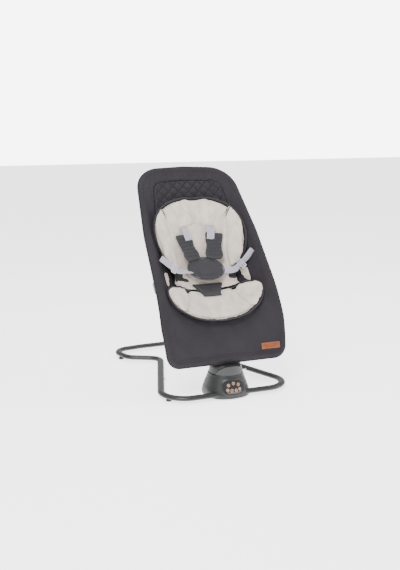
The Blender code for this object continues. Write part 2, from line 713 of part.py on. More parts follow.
def hinge(sway):
    """Ears on the head, the pin through them and the seat carrier's barrel between them."""
    round_top = [
        (RECLINE_Y - POD_Y + 0.0005 + 0.0165 * cos(a), RECLINE_Z + 0.0165 * sin(a))
        for a in (radians(-10 + 20 * i) for i in range(11))
    ]
    ear_outline = [(y - 0.004, z) for y, z in [(0.000, 0.1040), (0.044, 0.1040)]] + round_top
    # (y, z) outline stood up so that its thickness runs along X
    stand = Matrix(((0, 0, 1, 0), (1, 0, 0, 0), (0, 1, 0, 0), (0, 0, 0, 1)))
    for side, name in ((-1, "left"), (1, "right")):
        near, far = sorted((side * 0.0340, side * 0.0440))
        ear = add_object(f"hinge_ear_{name}", plate_mesh("hinge_ear", ear_outline, near, far, stand), "pod_grey", sway, (0, POD_Y, 0))
        bore = disc_mesh("ear_bore", PIN_R + 0.0003, -0.03, 0.03, 24)
        boolean(ear, helper(f"ear_bore_{name}", bore, (side * 0.039, RECLINE_Y, RECLINE_Z), (0, pi / 2, 0)))
    pin_profile = [
        (0, -0.0500), (0.0085, -0.0500), (0.0085, -0.0445), (PIN_R, -0.0445), (PIN_R, 0.0445), (0.0085, 0.0445),
        (0.0085, 0.0500), (0, 0.0500),
    ]
    add_object(
        "recline_pin", turned_mesh("recline_pin", pin_profile, 24, closed=False), "steel", sway,
        (0, RECLINE_Y, RECLINE_Z), (0, pi / 2, 0),
    )


def seat_carrier(seat):
    """The moulded arm on the recline pin: it clamps the bottom bar and holds both support arms."""
    lean = radians(24)
    barrel_r = 0.0145
    tall = 0.062
    outline = [
        (RECLINE_Y + barrel_r * cos(a), RECLINE_Z + barrel_r * sin(a)) for a in (radians(-160 + 20 * i) for i in range(9))
    ]
    top_front = (RECLINE_Y - 0.002, RECLINE_Z + tall)
    top_back = (RECLINE_Y + 0.030, RECLINE_Z + tall - 0.006)
    outline += [top_back, top_front, (RECLINE_Y - barrel_r * cos(lean), RECLINE_Z + barrel_r * sin(lean))]
    stand = Matrix(((0, 0, 1, 0), (1, 0, 0, 0), (0, 1, 0, 0), (0, 0, 0, 1)))
    carrier = add_object("seat_carrier", plate_mesh("seat_carrier", outline, -0.0335, 0.0335, stand), "pod_grey", seat)
    saddle_size = (0.067, 0.029, 0.0145)
    saddle = helper("bar_saddle", box_mesh("bar_saddle", saddle_size, (0, RAIL_FOOT_Y + 0.0155, RAIL_FOOT_Z + 0.00675)))
    boolean(carrier, saddle, "UNION")
    across = (0, pi / 2, 0)
    bar_space = disc_mesh("bar_space", SEAT_TUBE_R + 0.0004, -0.06, 0.06, 24)
    boolean(carrier, helper("bar_space", bar_space, (0, RAIL_FOOT_Y, RAIL_FOOT_Z), across))
    boolean(carrier, helper("carrier_bore", disc_mesh("carrier_bore", PIN_R + 0.0003, -0.06, 0.06, 24), (0, RECLINE_Y, RECLINE_Z), across))
    return carrier


def seat_matrix(x, s, off):
    """Axes at a point over the rails' surface: X across, Y along the rails, Z out of the surface."""
    at = on_seat(x, s, off)
    _, along, out = rail_frame(s)
    return Matrix(((1, 0, 0, at.x), (0, along.y, out.y, at.y), (0, along.z, out.z, at.z), (0, 0, 0, 1)))


def seat_box(name, low, high, middle_s):
    """A box between two (x, s, off) corners, square to the rails at middle_s."""
    size = [h - l for l, h in zip(low, high)]
    centre = [(h + l) / 2 for l, h in zip(low, high)]
    mesh = box_mesh(name, size, (centre[0], centre[1] - middle_s, centre[2]))
    mesh.transform(seat_matrix(0, middle_s, 0))
    return mesh


def seat_frame(seat, carrier):
    fine = rail_points()
    place = lambda p, side: on_seat(side * p.x, p.y, 0)
    section = oval_points(2 * SEAT_TUBE_R, 2 * SEAT_TUBE_R, 10)
    rail_out = lambda at: Vector((0.02, -0.8, 0.6)).normalized()
    cut = next(i for i, p in enumerate(fine) if p.y > SEAT_SEAM_S)
    a, b = fine[cut - 1], fine[cut]
    seam = a.lerp(b, (SEAT_SEAM_S - a.y) / (b.y - a.y))
    lean = (b - a).normalized()
    lower = fine[: cut - 1] + [seam - lean * GAP]
    upper = [seam + lean * GAP] + fine[cut + 1 :]
    lower_path = [place(p, -1) for p in reversed(lower[1:])] + [place(p, 1) for p in lower]
    upper_path = [place(p, 1) for p in upper] + [place(p, -1) for p in reversed(upper[:-1])]
    add_object(
        "seat_lower_tube", swept_mesh("seat_lower_tube", lower_path, section, SEAT_TUBE_WALL, rail_out), "tube_grey", seat
    )
    add_object(
        "seat_upper_tube", swept_mesh("seat_upper_tube", upper_path, section, SEAT_TUBE_WALL, rail_out), "tube_grey", seat
    )
    inner = oval_points(2 * (SEAT_TUBE_R - SEAT_TUBE_WALL - GAP), 2 * (SEAT_TUBE_R - SEAT_TUBE_WALL - 2 * GAP), 10)
    arm_section = oval_points(0.014, 0.014, 10)
    arm_space = oval_points(0.0148, 0.0148, 12)
    for side, name in ((-1, "left"), (1, "right")):
        along = [place(seam + lean * d, side) for d in (-0.032, 0.0, 0.032)]
        add_object(f"rail_splice_{name}", swept_mesh("rail_splice", along, inner, 0, rail_out), "steel", seat)
        route = [
            (0.013, 0.050, -0.030), (0.040, 0.066, -0.034), (0.080, 0.118, -0.056), (0.128, 0.182, -0.072),
            (0.168, 0.234, -0.060), (0.1845, 0.266, -0.029),
        ]
        path = smooth_path([on_seat(side * x, s, off) for x, s, off in route], 3)
        longer = path[:-1] + [path[-1] + (path[-1] - path[-2]).normalized() * 0.0006]
        longer = [longer[0] + (longer[0] - longer[1]).normalized() * 0.0006] + longer[1:]
        space = helper(f"arm_space_{name}", swept_mesh("arm_space", longer, arm_space, 0, up))
        add_object(f"support_arm_{name}", swept_mesh("support_arm", path, arm_section, 0.0015, up), "tube_grey", seat)
        boolean(carrier, space)
        near, far = sorted((side * 0.1815, side * 0.1955))
        clamp = add_object(
            f"rail_clamp_{name}", seat_box("rail_clamp", (near, 0.250, -0.028), (far, 0.286, -0.0065), 0.268), "pod_grey", seat
        )
        near, far = sorted((side * 0.1722, side * 0.1940))
        boolean(clamp, helper(f"arm_socket_{name}", seat_box("arm_socket", (near, 0.2515, -0.042), (far, 0.2875, -0.016), 0.268)), "UNION")
        rail_run = [place(p, side) for p in fine if 0.19 < p.y < 0.36]
        rail_space = oval_points(2 * SEAT_TUBE_R + 0.0008, 2 * SEAT_TUBE_R + 0.0008, 24)
        boolean(clamp, helper(f"rail_space_{name}", swept_mesh("rail_space", rail_run, rail_space, 0, rail_out)))
        boolean(clamp, space)
        screw_at = seat_matrix(side * 0.1880, 0.2800, -0.042)
        screw_profile = [(0, -0.0024), (0.0036, -0.0024), (0.0036, -0.0003), (0.0018, -0.0003), (0.0018, 0.0090), (0, 0.0090)]
        screw = turned_mesh("clamp_screw", screw_profile, 12, closed=False)
        screw.transform(screw_at)
        add_object(f"clamp_screw_{name}", screw, "steel", seat)
        hole = disc_mesh("screw_hole", 0.0021, -0.004, 0.0094, 12)
        hole.transform(screw_at)
        boolean(clamp, helper(f"screw_hole_{name}", hole))


def recline_lever(seat, carrier):
    """A sprung paddle behind the carrier, on its own pin between two lugs."""
    y, z = RECLINE_Y + 0.0335, RECLINE_Z + 0.028
    for side, name in ((-1, "left"), (1, "right")):
        lug = box_mesh("lever_lug", (0.005, 0.030, 0.012), (side * 0.0231, y - 0.010, z))
        boolean(carrier, helper(f"lever_lug_{name}", lug), "UNION")
    across = (0, pi / 2, 0)
    boolean(carrier, helper("lever_bore", disc_mesh("lever_bore", 0.0024, -0.03, 0.03, 16), (0, y, z), across))
    pivot = joint_empty("lever_axis", (0, y, z), seat)
    lever = add_object("recline_lever", disc_mesh("recline_lever", 0.0045, -0.0200, 0.0200, 20), "black_gloss", pivot, (0, y, z), across)
    paddle = box_mesh("paddle", (0.038, 0.0035, 0.027), (0, 0, 0.0155), 0.0008)
    boolean(lever, helper("paddle", paddle, (0, y, z), (radians(-24), 0, 0)), "UNION")
    boolean(lever, helper("lever_hole", disc_mesh("lever_hole", 0.0024, -0.03, 0.03, 16), (0, y, z), across))
    add_object("lever_pin", disc_mesh("lever_pin", 0.0020, -0.0256, 0.0256, 12), "steel", seat, (0, y, z), across)


def seat_cover(seat):
    """The sling: a hanging sheet whose border goes over and round the seat tube."""
    half = rail_points()
    line = half + [Vector((-p.x, p.y)) for p in reversed(half[1:-1])]
    count = len(line)
    outward = []
    for i in range(count):
        ahead = (line[(i + 1) % count] - line[i - 1]).normalized()
        outward.append(Vector((ahead.y, -ahead.x)))
    middle = Vector((0, 0.33))
    inner_r, outer_r = SEAT_TUBE_R + 0.0010, SEAT_TUBE_R + 0.0031
    lip = radians(140)

    def hook(radius, degrees):
        a = radians(degrees)
        return [
            on_seat(p.x + n.x * radius * cos(a), p.y + n.y * radius * cos(a), radius * sin(a))
            for p, n in zip(line, outward)
        ]

    def sheet(share, drop):
        found = []
        for p, n in zip(line, outward):
            edge = p + n * outer_r * cos(lip)
            at = middle + (edge - middle) * share
            found.append(on_seat(at.x, at.y, sling_height(at.x, at.y) - drop))
        return found

    shares = [0.12, 0.33, 0.53, 0.71, 0.85, 0.95]
    bends = [140, 105, 70, 35, 0, -36, -72]
    loops = [sheet(share, 0) for share in shares]
    loops += [hook(outer_r, bend) for bend in bends] + [hook(inner_r, bend) for bend in reversed(bends)]
    loops += [sheet(share, COVER_THICK) for share in reversed(shares)]
    add_object("seat_cover", lofted_mesh("seat_cover", loops), "plum_fabric", seat)


def cushion(name, half_width, low_s, high_s, middle_s, seat):
    """A stuffed pad lying in the sling, its outline given by a half-width at each s."""
    count = 44
    steps = 60
    right = [Vector((half_width(s), s)) for s in (low_s + (high_s - low_s) * (0.5 - 0.5 * cos(pi * i / steps)) for i in range(steps + 1))]
    outline = even_loop([Vector((0, low_s))] + right + [Vector((0, high_s))] + [Vector((-p.x, p.y)) for p in reversed(right)], count)
    middle = Vector((0, middle_s))

    def ring(share, face):
        found = []
        for p in outline:
            at = middle + (p - middle) * share
            top = insert_height(at.x, at.y)
            low = min(top - 0.004, max(sling_height(at.x, at.y) + 0.0080, top - 0.034))
            rise = {"top": 1.0, "upper": 0.72, "lower": 0.28, "low": 0.0}[face]
            found.append(on_seat(at.x, at.y, low + (top - low) * rise))
        return found

    shares = [0.15, 0.44, 0.72, 0.91]
    loops = [ring(share, "top") for share in shares] + [ring(0.985, "upper"), ring(0.985, "lower")]
    loops += [ring(share, "low") for share in reversed(shares)]
    return add_object(name, lofted_mesh(name, loops), "beige_velour", seat)


def band(name, route, thick, slot, seat, lift=None):
    """A strap or pad through (x, s, off or lift, half-width) stations; with lift set, the third value is above the insert."""
    stations = []
    for i, (x, s, off, half) in enumerate(route):
        before, after = route[max(i - 1, 0)], route[min(i + 1, len(route) - 1)]
        ahead = Vector((after[0] - before[0], after[1] - before[1])).normalized()
        across = Vector((ahead.y, -ahead.x))
        row = []
        for share in (-1, -0.5, 0, 0.5, 1):
            at = Vector((x, s)) + across * half * share
            height = off + insert_height(at.x, at.y) if lift else off
            row.append(on_seat(at.x, at.y, height))
        stations.append((row, rail_frame(s)[2]))
    return add_object(name, strip_mesh(name, stations, thick), slot, seat)


def harness(seat):
    for side, name in ((-1, "left"), (1, "right")):
        turn = lambda route: [(side * x, s, off, half) for x, s, off, half in route]
        strap = [(0.0440, 0.4565, 0.0010, 0.0125), (0.0455, 0.465, 0.0010, 0.0125), (0.0468, 0.474, 0.0010, 0.0125), (0.0480, 0.484, 0.0010, 0.0125)]
        band(f"shoulder_strap_{name}", turn(strap), 0.0014, "webbing_white", seat, lift=True)
        pad = [
            (0.0565, 0.4520, 0.0010, 0.0270), (0.0570, 0.4460, 0.0010, 0.0280), (0.0540, 0.4250, 0.0030, 0.0275),
            (0.0490, 0.4050, 0.0070, 0.0265), (0.0440, 0.3880, 0.0120, 0.0255), (0.0390, 0.3720, 0.0170, 0.0248),
            (0.0375, 0.3665, 0.0190, 0.0245),
        ]
        band(f"shoulder_pad_{name}", turn(pad), 0.006, "rubber", seat, lift=True)
        belt = [
            (0.066, 0.3170, -0.0380, 0.0125), (0.084, 0.3130, -0.0345, 0.0125), (0.1012, 0.3142, -0.0282, 0.0125),
            (0.108, 0.3190, -0.0250, 0.0125), (0.125, 0.3310, -0.0170, 0.0125), (0.1318, 0.3358, -0.0138, 0.0125),
            (0.146, 0.3480, -0.0110, 0.0125), (0.158, 0.3590, -0.0050, 0.0125),
        ]
        band(f"waist_belt_{name}", turn(belt), 0.0014, "webbing_white", seat)
        ahead = atan2(0.012, 0.017)
        slider = box_mesh("slider", (0.016, 0.034, 0.0060), (0, 0, 0), 0.0008)
        slot = box_mesh("slider_slot", (0.030, 0.0262, 0.0032))
        tilt = Matrix.Rotation(side * radians(-21.0), 4, "Y")
        at = seat_matrix(side * 0.1165, 0.3250, -0.0210) @ Matrix.Rotation(side * ahead, 4, "Z") @ tilt
        slider.transform(at)
        slot.transform(at)
        piece = add_object(f"belt_slider_{name}", slider, "nylon_white", seat)
        boolean(piece, helper(f"slider_slot_{name}", slot))
    crotch = [(0, 0.2235, 0.0012, 0.031), (0, 0.2325, 0.0020, 0.0335), (0, 0.2485, 0.0050, 0.040), (0, 0.2645, 0.0060, 0.047), (0, 0.2800, 0.0065, 0.054)]
    band("crotch_pad", crotch, 0.006, "rubber", seat, lift=True)

    body = add_object("buckle", seat_box("buckle", (-0.034, 0.300, -0.0580), (0.034, 0.350, -0.0440), 0.324), "nylon_white", seat)
    pocket = seat_box("button_pocket", (-0.0123, 0.284, -0.0553), (0.0123, 0.3203, -0.0467), 0.324)
    boolean(body, helper("button_pocket", pocket))
    slide = joint_empty("buckle_button_slide", on_seat(0, 0.3005, -0.051), seat)
    add_object("buckle_button", seat_box("buckle_button", (-0.0120, 0.2970, -0.0550), (0.0120, 0.3160, -0.0470), 0.324), "tan_patch", slide)
    dome = [(0, 0), (0.94, 0), (1.0, 0.0030), (0.97, 0.0060), (0.86, 0.0090), (0.62, 0.0112), (0.3, 0.0120), (0, 0.0122)]
    cover = turned_mesh("buckle_cover", dome, 40, closed=False)
    cover.transform(seat_matrix(0, 0.324, -0.0435) @ Matrix.Diagonal((0.063, 0.040, 1, 1)))
    add_object("buckle_cover", cover, "plum_fabric", seat)


def label_patch(seat):
    row = lambda s: [on_seat(0.118 + 0.016 * i, s, sling_height(0.118 + 0.016 * i, s) + 0.0020) for i in range(5)]
    stations = [(row(0.020 + 0.005 * i), rail_frame(0.030)[2]) for i in range(5)]
    add_object("label_patch", strip_mesh("label_patch", stations, 0.0012), "tan_patch", seat)


def main():
    clear_scene()
    base = joint_empty("base", (0, 0, 0))
    sway = joint_empty("sway_axis", (0, POD_Y, 0), base)
    recline = joint_empty("recline_axis", (0, RECLINE_Y, RECLINE_Z), sway)
    floor_frame(base)
    pod(base)
    sway_drive(base, sway)
    swing_head(sway)
    hinge(sway)
    carrier = seat_carrier(recline)
    recline_lever(recline, carrier)
    seat_frame(recline, carrier)
    seat_cover(recline)
    cushion("insert_seat", seat_half_width, 0.125, 0.2630, 0.205, recline)
    cushion("insert_head", head_half_width, 0.2640, 0.563, 0.420, recline)
    harness(recline)
    label_patch(recline)


main()
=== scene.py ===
"""Looks of a powered swaying baby bouncer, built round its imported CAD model.

Soft pieces are laid out flat as (x, s, h): x across the seat, s along its side rails from the bottom
bar and h above a floor surface. They are stuffed and sewn there, then bent onto the seat."""

from math import cos, pi, radians, sin, sqrt, tan

import bmesh
import bpy
import numpy as np
from mathutils import Matrix, Vector, noise
from mathutils.bvhtree import BVHTree


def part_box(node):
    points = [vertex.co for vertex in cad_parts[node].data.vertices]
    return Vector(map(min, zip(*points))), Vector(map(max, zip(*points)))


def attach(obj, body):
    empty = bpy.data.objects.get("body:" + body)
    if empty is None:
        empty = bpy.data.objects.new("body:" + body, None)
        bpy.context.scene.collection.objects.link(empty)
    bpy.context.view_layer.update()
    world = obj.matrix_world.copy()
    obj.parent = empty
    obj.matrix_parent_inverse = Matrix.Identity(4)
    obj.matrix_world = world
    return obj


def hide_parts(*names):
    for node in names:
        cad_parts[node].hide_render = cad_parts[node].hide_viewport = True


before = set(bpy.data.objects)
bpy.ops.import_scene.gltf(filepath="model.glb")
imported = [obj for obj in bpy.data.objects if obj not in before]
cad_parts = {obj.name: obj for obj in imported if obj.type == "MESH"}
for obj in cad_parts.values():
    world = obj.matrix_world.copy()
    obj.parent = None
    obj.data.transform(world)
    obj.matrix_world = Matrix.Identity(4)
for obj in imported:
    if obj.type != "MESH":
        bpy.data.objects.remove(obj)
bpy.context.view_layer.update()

# The side rails' line, as the CAD lays it out: an arc up from the bottom bar, then a straight back
RAIL_FOOT = (-0.275, 0.116)
RAIL_RADIUS = 0.490
RAIL_LOW = radians(80.6)
RAIL_BACK = radians(49.6)
RAIL_ARC = RAIL_RADIUS * (RAIL_LOW - RAIL_BACK)
SLING_OUT = 0.0112
SEAT_CORNERS = [
    (0.0, 0.0, 0.0), (0.190, 0.0, 0.030), (0.1985, 0.115, 0.300), (0.188, 0.440, 0.500),
    (0.161, 0.690, 0.082),
    (0.0, 0.698, 0.0),
]
SLING_MIDDLE = [
    (0.0, 0.007), (0.060, -0.001), (0.113, -0.022), (0.165, -0.046), (0.221, -0.074), (0.264, -0.097),
    (0.300, -0.108), (0.360, -0.098), (0.424, -0.075), (0.514, -0.046), (0.563, -0.018), (0.620, 0.000),
    (0.698, 0.007),
]
BAND_WIDE = 0.044
DIAMOND = 0.036
QUILT_LOW = 0.556
WEB = 0.025

# The insert's bowl: height of its face along the middle and along the edge
BOWL_MIDDLE = [
    (0.110, 0.012), (0.125, 0.004), (0.145, -0.008), (0.170, -0.021), (0.200, -0.036), (0.235, -0.054),
    (0.264, -0.069), (0.300, -0.078), (0.360, -0.062), (0.424, -0.040), (0.514, -0.014), (0.545, 0.004),
    (0.570, 0.016),
]
BOWL_EDGE = [
    (0.110, 0.006), (0.125, 0.004), (0.150, 0.002), (0.200, 0.000), (0.235, -0.001), (0.255, -0.006),
    (0.266, -0.034),
    (0.280, -0.054), (0.300, -0.058), (0.318, -0.045), (0.332, -0.031), (0.355, -0.021), (0.390, -0.005),
    (0.430, 0.006), (0.487, 0.015), (0.531, 0.020), (0.570, 0.020),
]

POD_Y = -0.257
FRONT_BAR_Y = -0.308
TUBE_Z = 0.016
TUBE_WIDE = 0.023
TUBE_HIGH = 0.016
SEAM = (0.148, -0.059)
SIDE_SLOPE = 0.35


# ---------------------------------------------------------------- shader expressions


class Wire:
    """One shader value; sums of wires become Math nodes."""

    def __init__(self, paint, socket):
        self.paint = paint
        self.socket = socket

    def _math(self, kind, *others):
        return self.paint.node("ShaderNodeMath", {"operation": kind}, [self, *others])

    def __add__(self, other):
        return self._math("ADD", other)

    def __sub__(self, other):
        return self._math("SUBTRACT", other)

    def __mul__(self, other):
        return self._math("MULTIPLY", other)

    def __truediv__(self, other):
        return self._math("DIVIDE", other)

    def __rsub__(self, other):
        return self.paint.node("ShaderNodeMath", {"operation": "SUBTRACT"}, [other, self])

    __radd__ = __add__
    __rmul__ = __mul__

    def __abs__(self):
        return self._math("ABSOLUTE")

    def __pow__(self, other):
        return self._math("POWER", other)

    def sine(self):
        return self._math("SINE")

    def wrap(self, span):
        return self._math("PINGPONG", span)

    def low(self, other):
        return self._math("MINIMUM", other)

    def high(self, other):
        return self._math("MAXIMUM", other)

    def step(self, low, high):
        """0 below low, 1 above high, smooth between them."""
        return self.paint.node(
            "ShaderNodeMapRange", {"interpolation_type": "SMOOTHSTEP"}, [self, low, high, 0.0, 1.0], "Result"
        )


class Paint:
    """A material being mixed."""

    def __init__(self, name, colour, rough, metal=0.0, **fixed):
        self.material = bpy.data.materials.new(name)
        self.material.use_nodes = True
        self.tree = self.material.node_tree
        self.shader = self.tree.nodes["Principled BSDF"]
        self.shader.inputs["Base Color"].default_value = (*colour, 1)
        self.shader.inputs["Roughness"].default_value = rough
        self.shader.inputs["Metallic"].default_value = metal
        for key, value in fixed.items():
            self.shader.inputs[key.replace("_", " ")].default_value = value
        self.material.diffuse_color = (*colour, 1)
        self.place = self.node("ShaderNodeTexCoord", {}, [], "Object")

    def node(self, kind, settings, values, out=0):
        made = self.tree.nodes.new(kind)
        for key, value in settings.items():
            setattr(made, key, value)
        pairs = values.items() if isinstance(values, dict) else enumerate(values)
        for key, value in pairs:
            if isinstance(value, Wire):
                self.tree.links.new(value.socket, made.inputs[key])
            elif value is not None:
                made.inputs[key].default_value = value
        return Wire(self, made.outputs[out])

    def noise(self, scale, detail=2.0, rough=0.5, at=None, stretch=None):
        at = at or self.place
        if stretch:
            at = self.node("ShaderNodeMapping", {}, {"Vector": at, "Scale": stretch})
        return self.node("ShaderNodeTexNoise", {},
            {"Vector": at, "Scale": scale, "Detail": detail, "Roughness": rough})

    def axes(self, at=None):
        split = self.tree.nodes.new("ShaderNodeSeparateXYZ")
        self.tree.links.new((at or self.place).socket, split.inputs[0])
        return [Wire(self, split.outputs[i]) for i in range(3)]

    def lay(self):
        """The piece's own flat place: x, s and distance from its edge, in metres."""
        return self.axes(self.node("ShaderNodeAttribute", {"attribute_name": "lay"}, [], "Vector"))

    def mix(self, share, first, second):
        values = {0: share, 6: self._colour(first), 7: self._colour(second)}
        return self.node("ShaderNodeMix", {"data_type": "RGBA"}, values, 2)

    def _colour(self, value):
        return value if isinstance(value, Wire) else (*value, 1)

    def feed(self, name, wire):
        self.tree.links.new(wire.socket, self.shader.inputs[name])
        return self

    def bump(self, height, strength, distance):
        normal = self.node("ShaderNodeBump", {},
            {"Strength": strength, "Distance": distance, "Height": height})
        return self.feed("Normal", normal)


def woven(at, pitch):
    """A plain weave's height at a flat place: over and under threads of that pitch."""
    x, y, _ = at
    turn = pi / pitch
    warp = (x * turn).sine()
    weft = (y * turn).sine()
    return warp * weft * 0.5 + 0.5


def canvas_paint(name, light, dark, lines=True):
    """Melange canvas of the sling, with its seams and stitches."""
    paint = Paint(name, light, 0.88, Specular_IOR_Level=0.22)
    x, s, deep = paint.lay()
    threads = woven((x, s, deep), 0.0011)
    flecks = paint.noise(2600, 2.0, 0.6, stretch=(1.0, 1.0, 0.35))
    cloud = paint.noise(9, 3.0, 0.55)
    tone = flecks * 0.55 + cloud * 0.30 + threads * 0.15
    colour = paint.mix(tone.step(0.30, 0.72), dark, light)
    height = threads * 0.6 + flecks * 0.4
    if lines:
        banded = s.step(0.190, 0.225)
        seam = (1 - abs(deep - BAND_WIDE).step(0.0007, 0.0020)) * banded
        stitch_row = (1 - abs(deep - BAND_WIDE - 0.0045).step(0.0004, 0.0010)) * banded
        panel = (1 - abs(x).step(0.121, 0.125)) * s.step(QUILT_LOW,
            QUILT_LOW + 0.004) * deep.step(BAND_WIDE, BAND_WIDE + 0.003)
        rows = (x + s).wrap(DIAMOND / 2).low((x - s).wrap(DIAMOND / 2))
        seam = seam.high(panel * (1 - rows.step(0.0006, 0.0020)) * 0.9)
        along = (x + s * 1.7).wrap(0.0022) / 0.0022
        stitch = stitch_row * along.step(0.35, 0.5)
        colour = paint.mix(seam * 0.75, colour, [c * 0.28 for c in dark])
        colour = paint.mix(stitch * 0.45, colour, [c * 1.9 for c in light])
        height = height + stitch * 1.2 - seam * 1.5
    paint.feed("Base Color", colour)
    paint.feed("Roughness", flecks * 0.12 + 0.80)
    paint.bump(height, 0.35, 0.0006)
    return paint.material


def velour_paint(name, light, dark):
    """Short-pile velour: a soft nap that clouds in patches, with painted shade along each pad's sewn edge."""
    paint = Paint(name, light, 0.95, Sheen_Weight=0.20, Sheen_Roughness=0.4)
    nap = paint.noise(1500, 3.0, 0.6)
    brushed = paint.noise(38, 4.0, 0.6, stretch=(1.0, 0.6, 0.6))
    colour = paint.mix((brushed * 0.6 + nap * 0.4).step(0.33, 0.66), dark, light)
    _, _, deep = paint.lay()
    # Painted shade: the colour darkens within a few millimetres of the pad's edge, where the pads meet.
    colour = paint.mix((1 - deep.step(0.0004, 0.0040)) * 0.75, colour, [c * 0.25 for c in dark])
    paint.feed("Base Color", colour)
    paint.feed("Roughness", nap * 0.1 + 0.86)
    paint.bump(nap * 0.6 + brushed * 0.6, 0.30, 0.0007)
    return paint.material


def padding_paint(name, light, dark):
    """The harness pads' slate cloth, a fine twill."""
    paint = Paint(name, light, 0.82, Sheen_Weight=0.04)
    x, s, deep = paint.lay()
    twill = ((x + s) * (pi / 0.0009)).sine() * 0.5 + 0.5
    fleck = paint.noise(2200, 2.0)
    colour = paint.mix((twill * 0.4 + fleck * 0.6).step(0.3, 0.7), dark, light)
    edge = 1 - abs(deep - 0.0060).step(0.0004, 0.0011)
    colour = paint.mix(edge * 0.5, colour, [c * 2.4 for c in light])
    paint.feed("Base Color", colour)
    paint.bump(twill * 0.6 + fleck * 0.4, 0.3, 0.0005)
    return paint.material


def webbing_paint(name, light, dark):
    """Woven belt: ribs across, a flatter selvedge along each edge."""
    paint = Paint(name, light, 0.62, Sheen_Weight=0.15)
    along, across, _ = paint.lay()
    rib = (along * (pi / 0.0009)).sine() * 0.5 + 0.5
    strand = (across * (pi / 0.0016)).sine() * 0.5 + 0.5
    edge = abs(across).step(0.0098, 0.0108)
    tone = rib * 0.5 + strand * 0.5
    colour = paint.mix((tone * 0.7 + edge * 0.3).step(0.1, 0.8), dark, light)
    paint.feed("Base Color", colour)
    paint.feed("Roughness", rib * 0.15 + 0.52)
    paint.bump(rib * 0.7 + strand * 0.3 + edge * 0.5, 0.45, 0.0004)
    return paint.material


def leather_paint(name):
    """Tan leather patch: grain, a pressed frame, saddle stitches and worn edges."""
    paint = Paint(name, (0.50, 0.17, 0.022), 0.5)
    x, s, deep = paint.lay()
    grain = paint.node("ShaderNodeTexVoronoi", {}, {"Vector": paint.place, "Scale": 900.0}, "Distance")
    cloud = paint.noise(60, 4.0, 0.6)
    colour = paint.mix(cloud.step(0.3, 0.75), (0.125, 0.023, 0.0012), (0.20, 0.044, 0.0025))
    stitch_row = 1 - abs(deep - 0.0020).step(0.0003, 0.0006)
    stitch = stitch_row * ((x + s) .wrap(0.0016) / 0.0016).step(0.4, 0.5)
    pressed = 1 - abs(deep - 0.0042).step(0.0003, 0.0008)
    colour = paint.mix(pressed * 0.6, colour, (0.12, 0.035, 0.008))
    colour = paint.mix(stitch * 0.6, colour, (0.42, 0.20, 0.07))
    colour = paint.mix((1 - deep.step(0.0, 0.0012)) * 0.5, colour, (0.16, 0.05, 0.01))
    paint.feed("Base Color", colour)
    paint.feed("Roughness", cloud * 0.2 + 0.42)
    paint.bump(grain * 0.6 - pressed * 1.2 + stitch * 0.8, 0.4, 0.0005)
    return paint.material


def moulded_paint(name, colour, rough, fine=1400, depth=0.22):
    """Injection-moulded plastic with a fine spark finish and faint handling marks."""
    paint = Paint(name, colour, rough)
    spark = paint.noise(fine, 2.0, 0.6)
    cloud = paint.noise(14, 4.0, 0.6)
    tone = paint.mix((cloud * 0.7 + spark * 0.3).step(0.3, 0.7), [c * 0.88 for c in colour],
        [c * 1.10 for c in colour])
    paint.feed("Base Color", tone)
    paint.feed("Roughness", cloud * 0.14 + spark * 0.10 + (rough - 0.12))
    paint.bump(spark, depth, 0.0003)
    return paint.material


def enamel_paint(name, colour):
    """Powder-coated tube: orange peel and a metallic fleck."""
    paint = Paint(name, colour, 0.36, 0.35, Coat_Weight=0.15, Coat_Roughness=0.3)
    peel = paint.noise(420, 2.0, 0.5)
    fleck = paint.noise(5200, 1.0, 0.5).step(0.60, 0.74)
    rub = paint.noise(18, 5.0, 0.65)
    tone = paint.mix(rub.step(0.35, 0.7), [c * 0.86 for c in colour], [c * 1.08 for c in colour])
    tone = paint.mix(fleck * 0.35, tone, [min(1.0, c * 2.1) for c in colour])
    paint.feed("Base Color", tone)
    paint.feed("Roughness", rub * 0.18 + 0.28)
    paint.bump(peel, 0.10, 0.0006)
    return paint.material


def metal_paint(name, colour, rough):
    """Drawn or turned metal: fine lines along one way, faint smears."""
    paint = Paint(name, colour, rough, 1.0)
    lines = paint.noise(900, 2.0, 0.6, stretch=(1.0, 1.0, 0.05))
    smear = paint.noise(40, 4.0)
    tone = paint.mix(smear.step(0.3, 0.7), [c * 0.85 for c in colour], colour)
    paint.feed("Base Color", tone)
    paint.feed("Roughness", lines * 0.15 + smear * 0.12 + (rough - 0.12))
    paint.bump(lines, 0.12, 0.0003)
    return paint.material


def rubber_paint(name):
    paint = Paint(name, (0.030, 0.030, 0.032), 0.75)
    pores = paint.noise(800, 3.0)
    dust = paint.noise(70, 4.0).step(0.45, 0.8)
    paint.feed("Base Color", paint.mix(dust * 0.5, (0.026, 0.026, 0.028), (0.085, 0.083, 0.080)))
    paint.feed("Roughness", pores * 0.2 + 0.65)
    paint.bump(pores, 0.2, 0.0004)
    return paint.material


def board_paint(name):
    """Circuit board: green mask with copper lanes and pads."""
    paint = Paint(name, (0.01, 0.09, 0.035), 0.4)
    x, _, z = paint.axes()
    lanes = (1 - x.wrap(0.0011).step(0.0002, 0.0004)) * z.wrap(0.006).step(0.001, 0.0012)
    pads = paint.node("ShaderNodeTexVoronoi", {}, {"Vector": paint.place, "Scale": 260.0}, "Distance")
    dots = 1 - pads.step(0.12, 0.17)
    colour = paint.mix(lanes * 0.5, (0.010, 0.085, 0.032), (0.030, 0.190, 0.075))
    colour = paint.mix(dots, colour, (0.62, 0.42, 0.18))
    paint.feed("Base Color", colour)
    paint.bump(lanes + dots, 0.3, 0.0003)
    return paint.material


PANEL_Z = 0.0390
# Key centres on the panel, from its middle: three in an arc above, four below
KEYS = [(-0.0165, 0.0062), (0.0, 0.0108), (0.0165, 0.0062), (-0.0205, -0.0078), (-0.0072, -0.0098),
    (0.0072, -0.0098), (0.0205, -0.0078)]


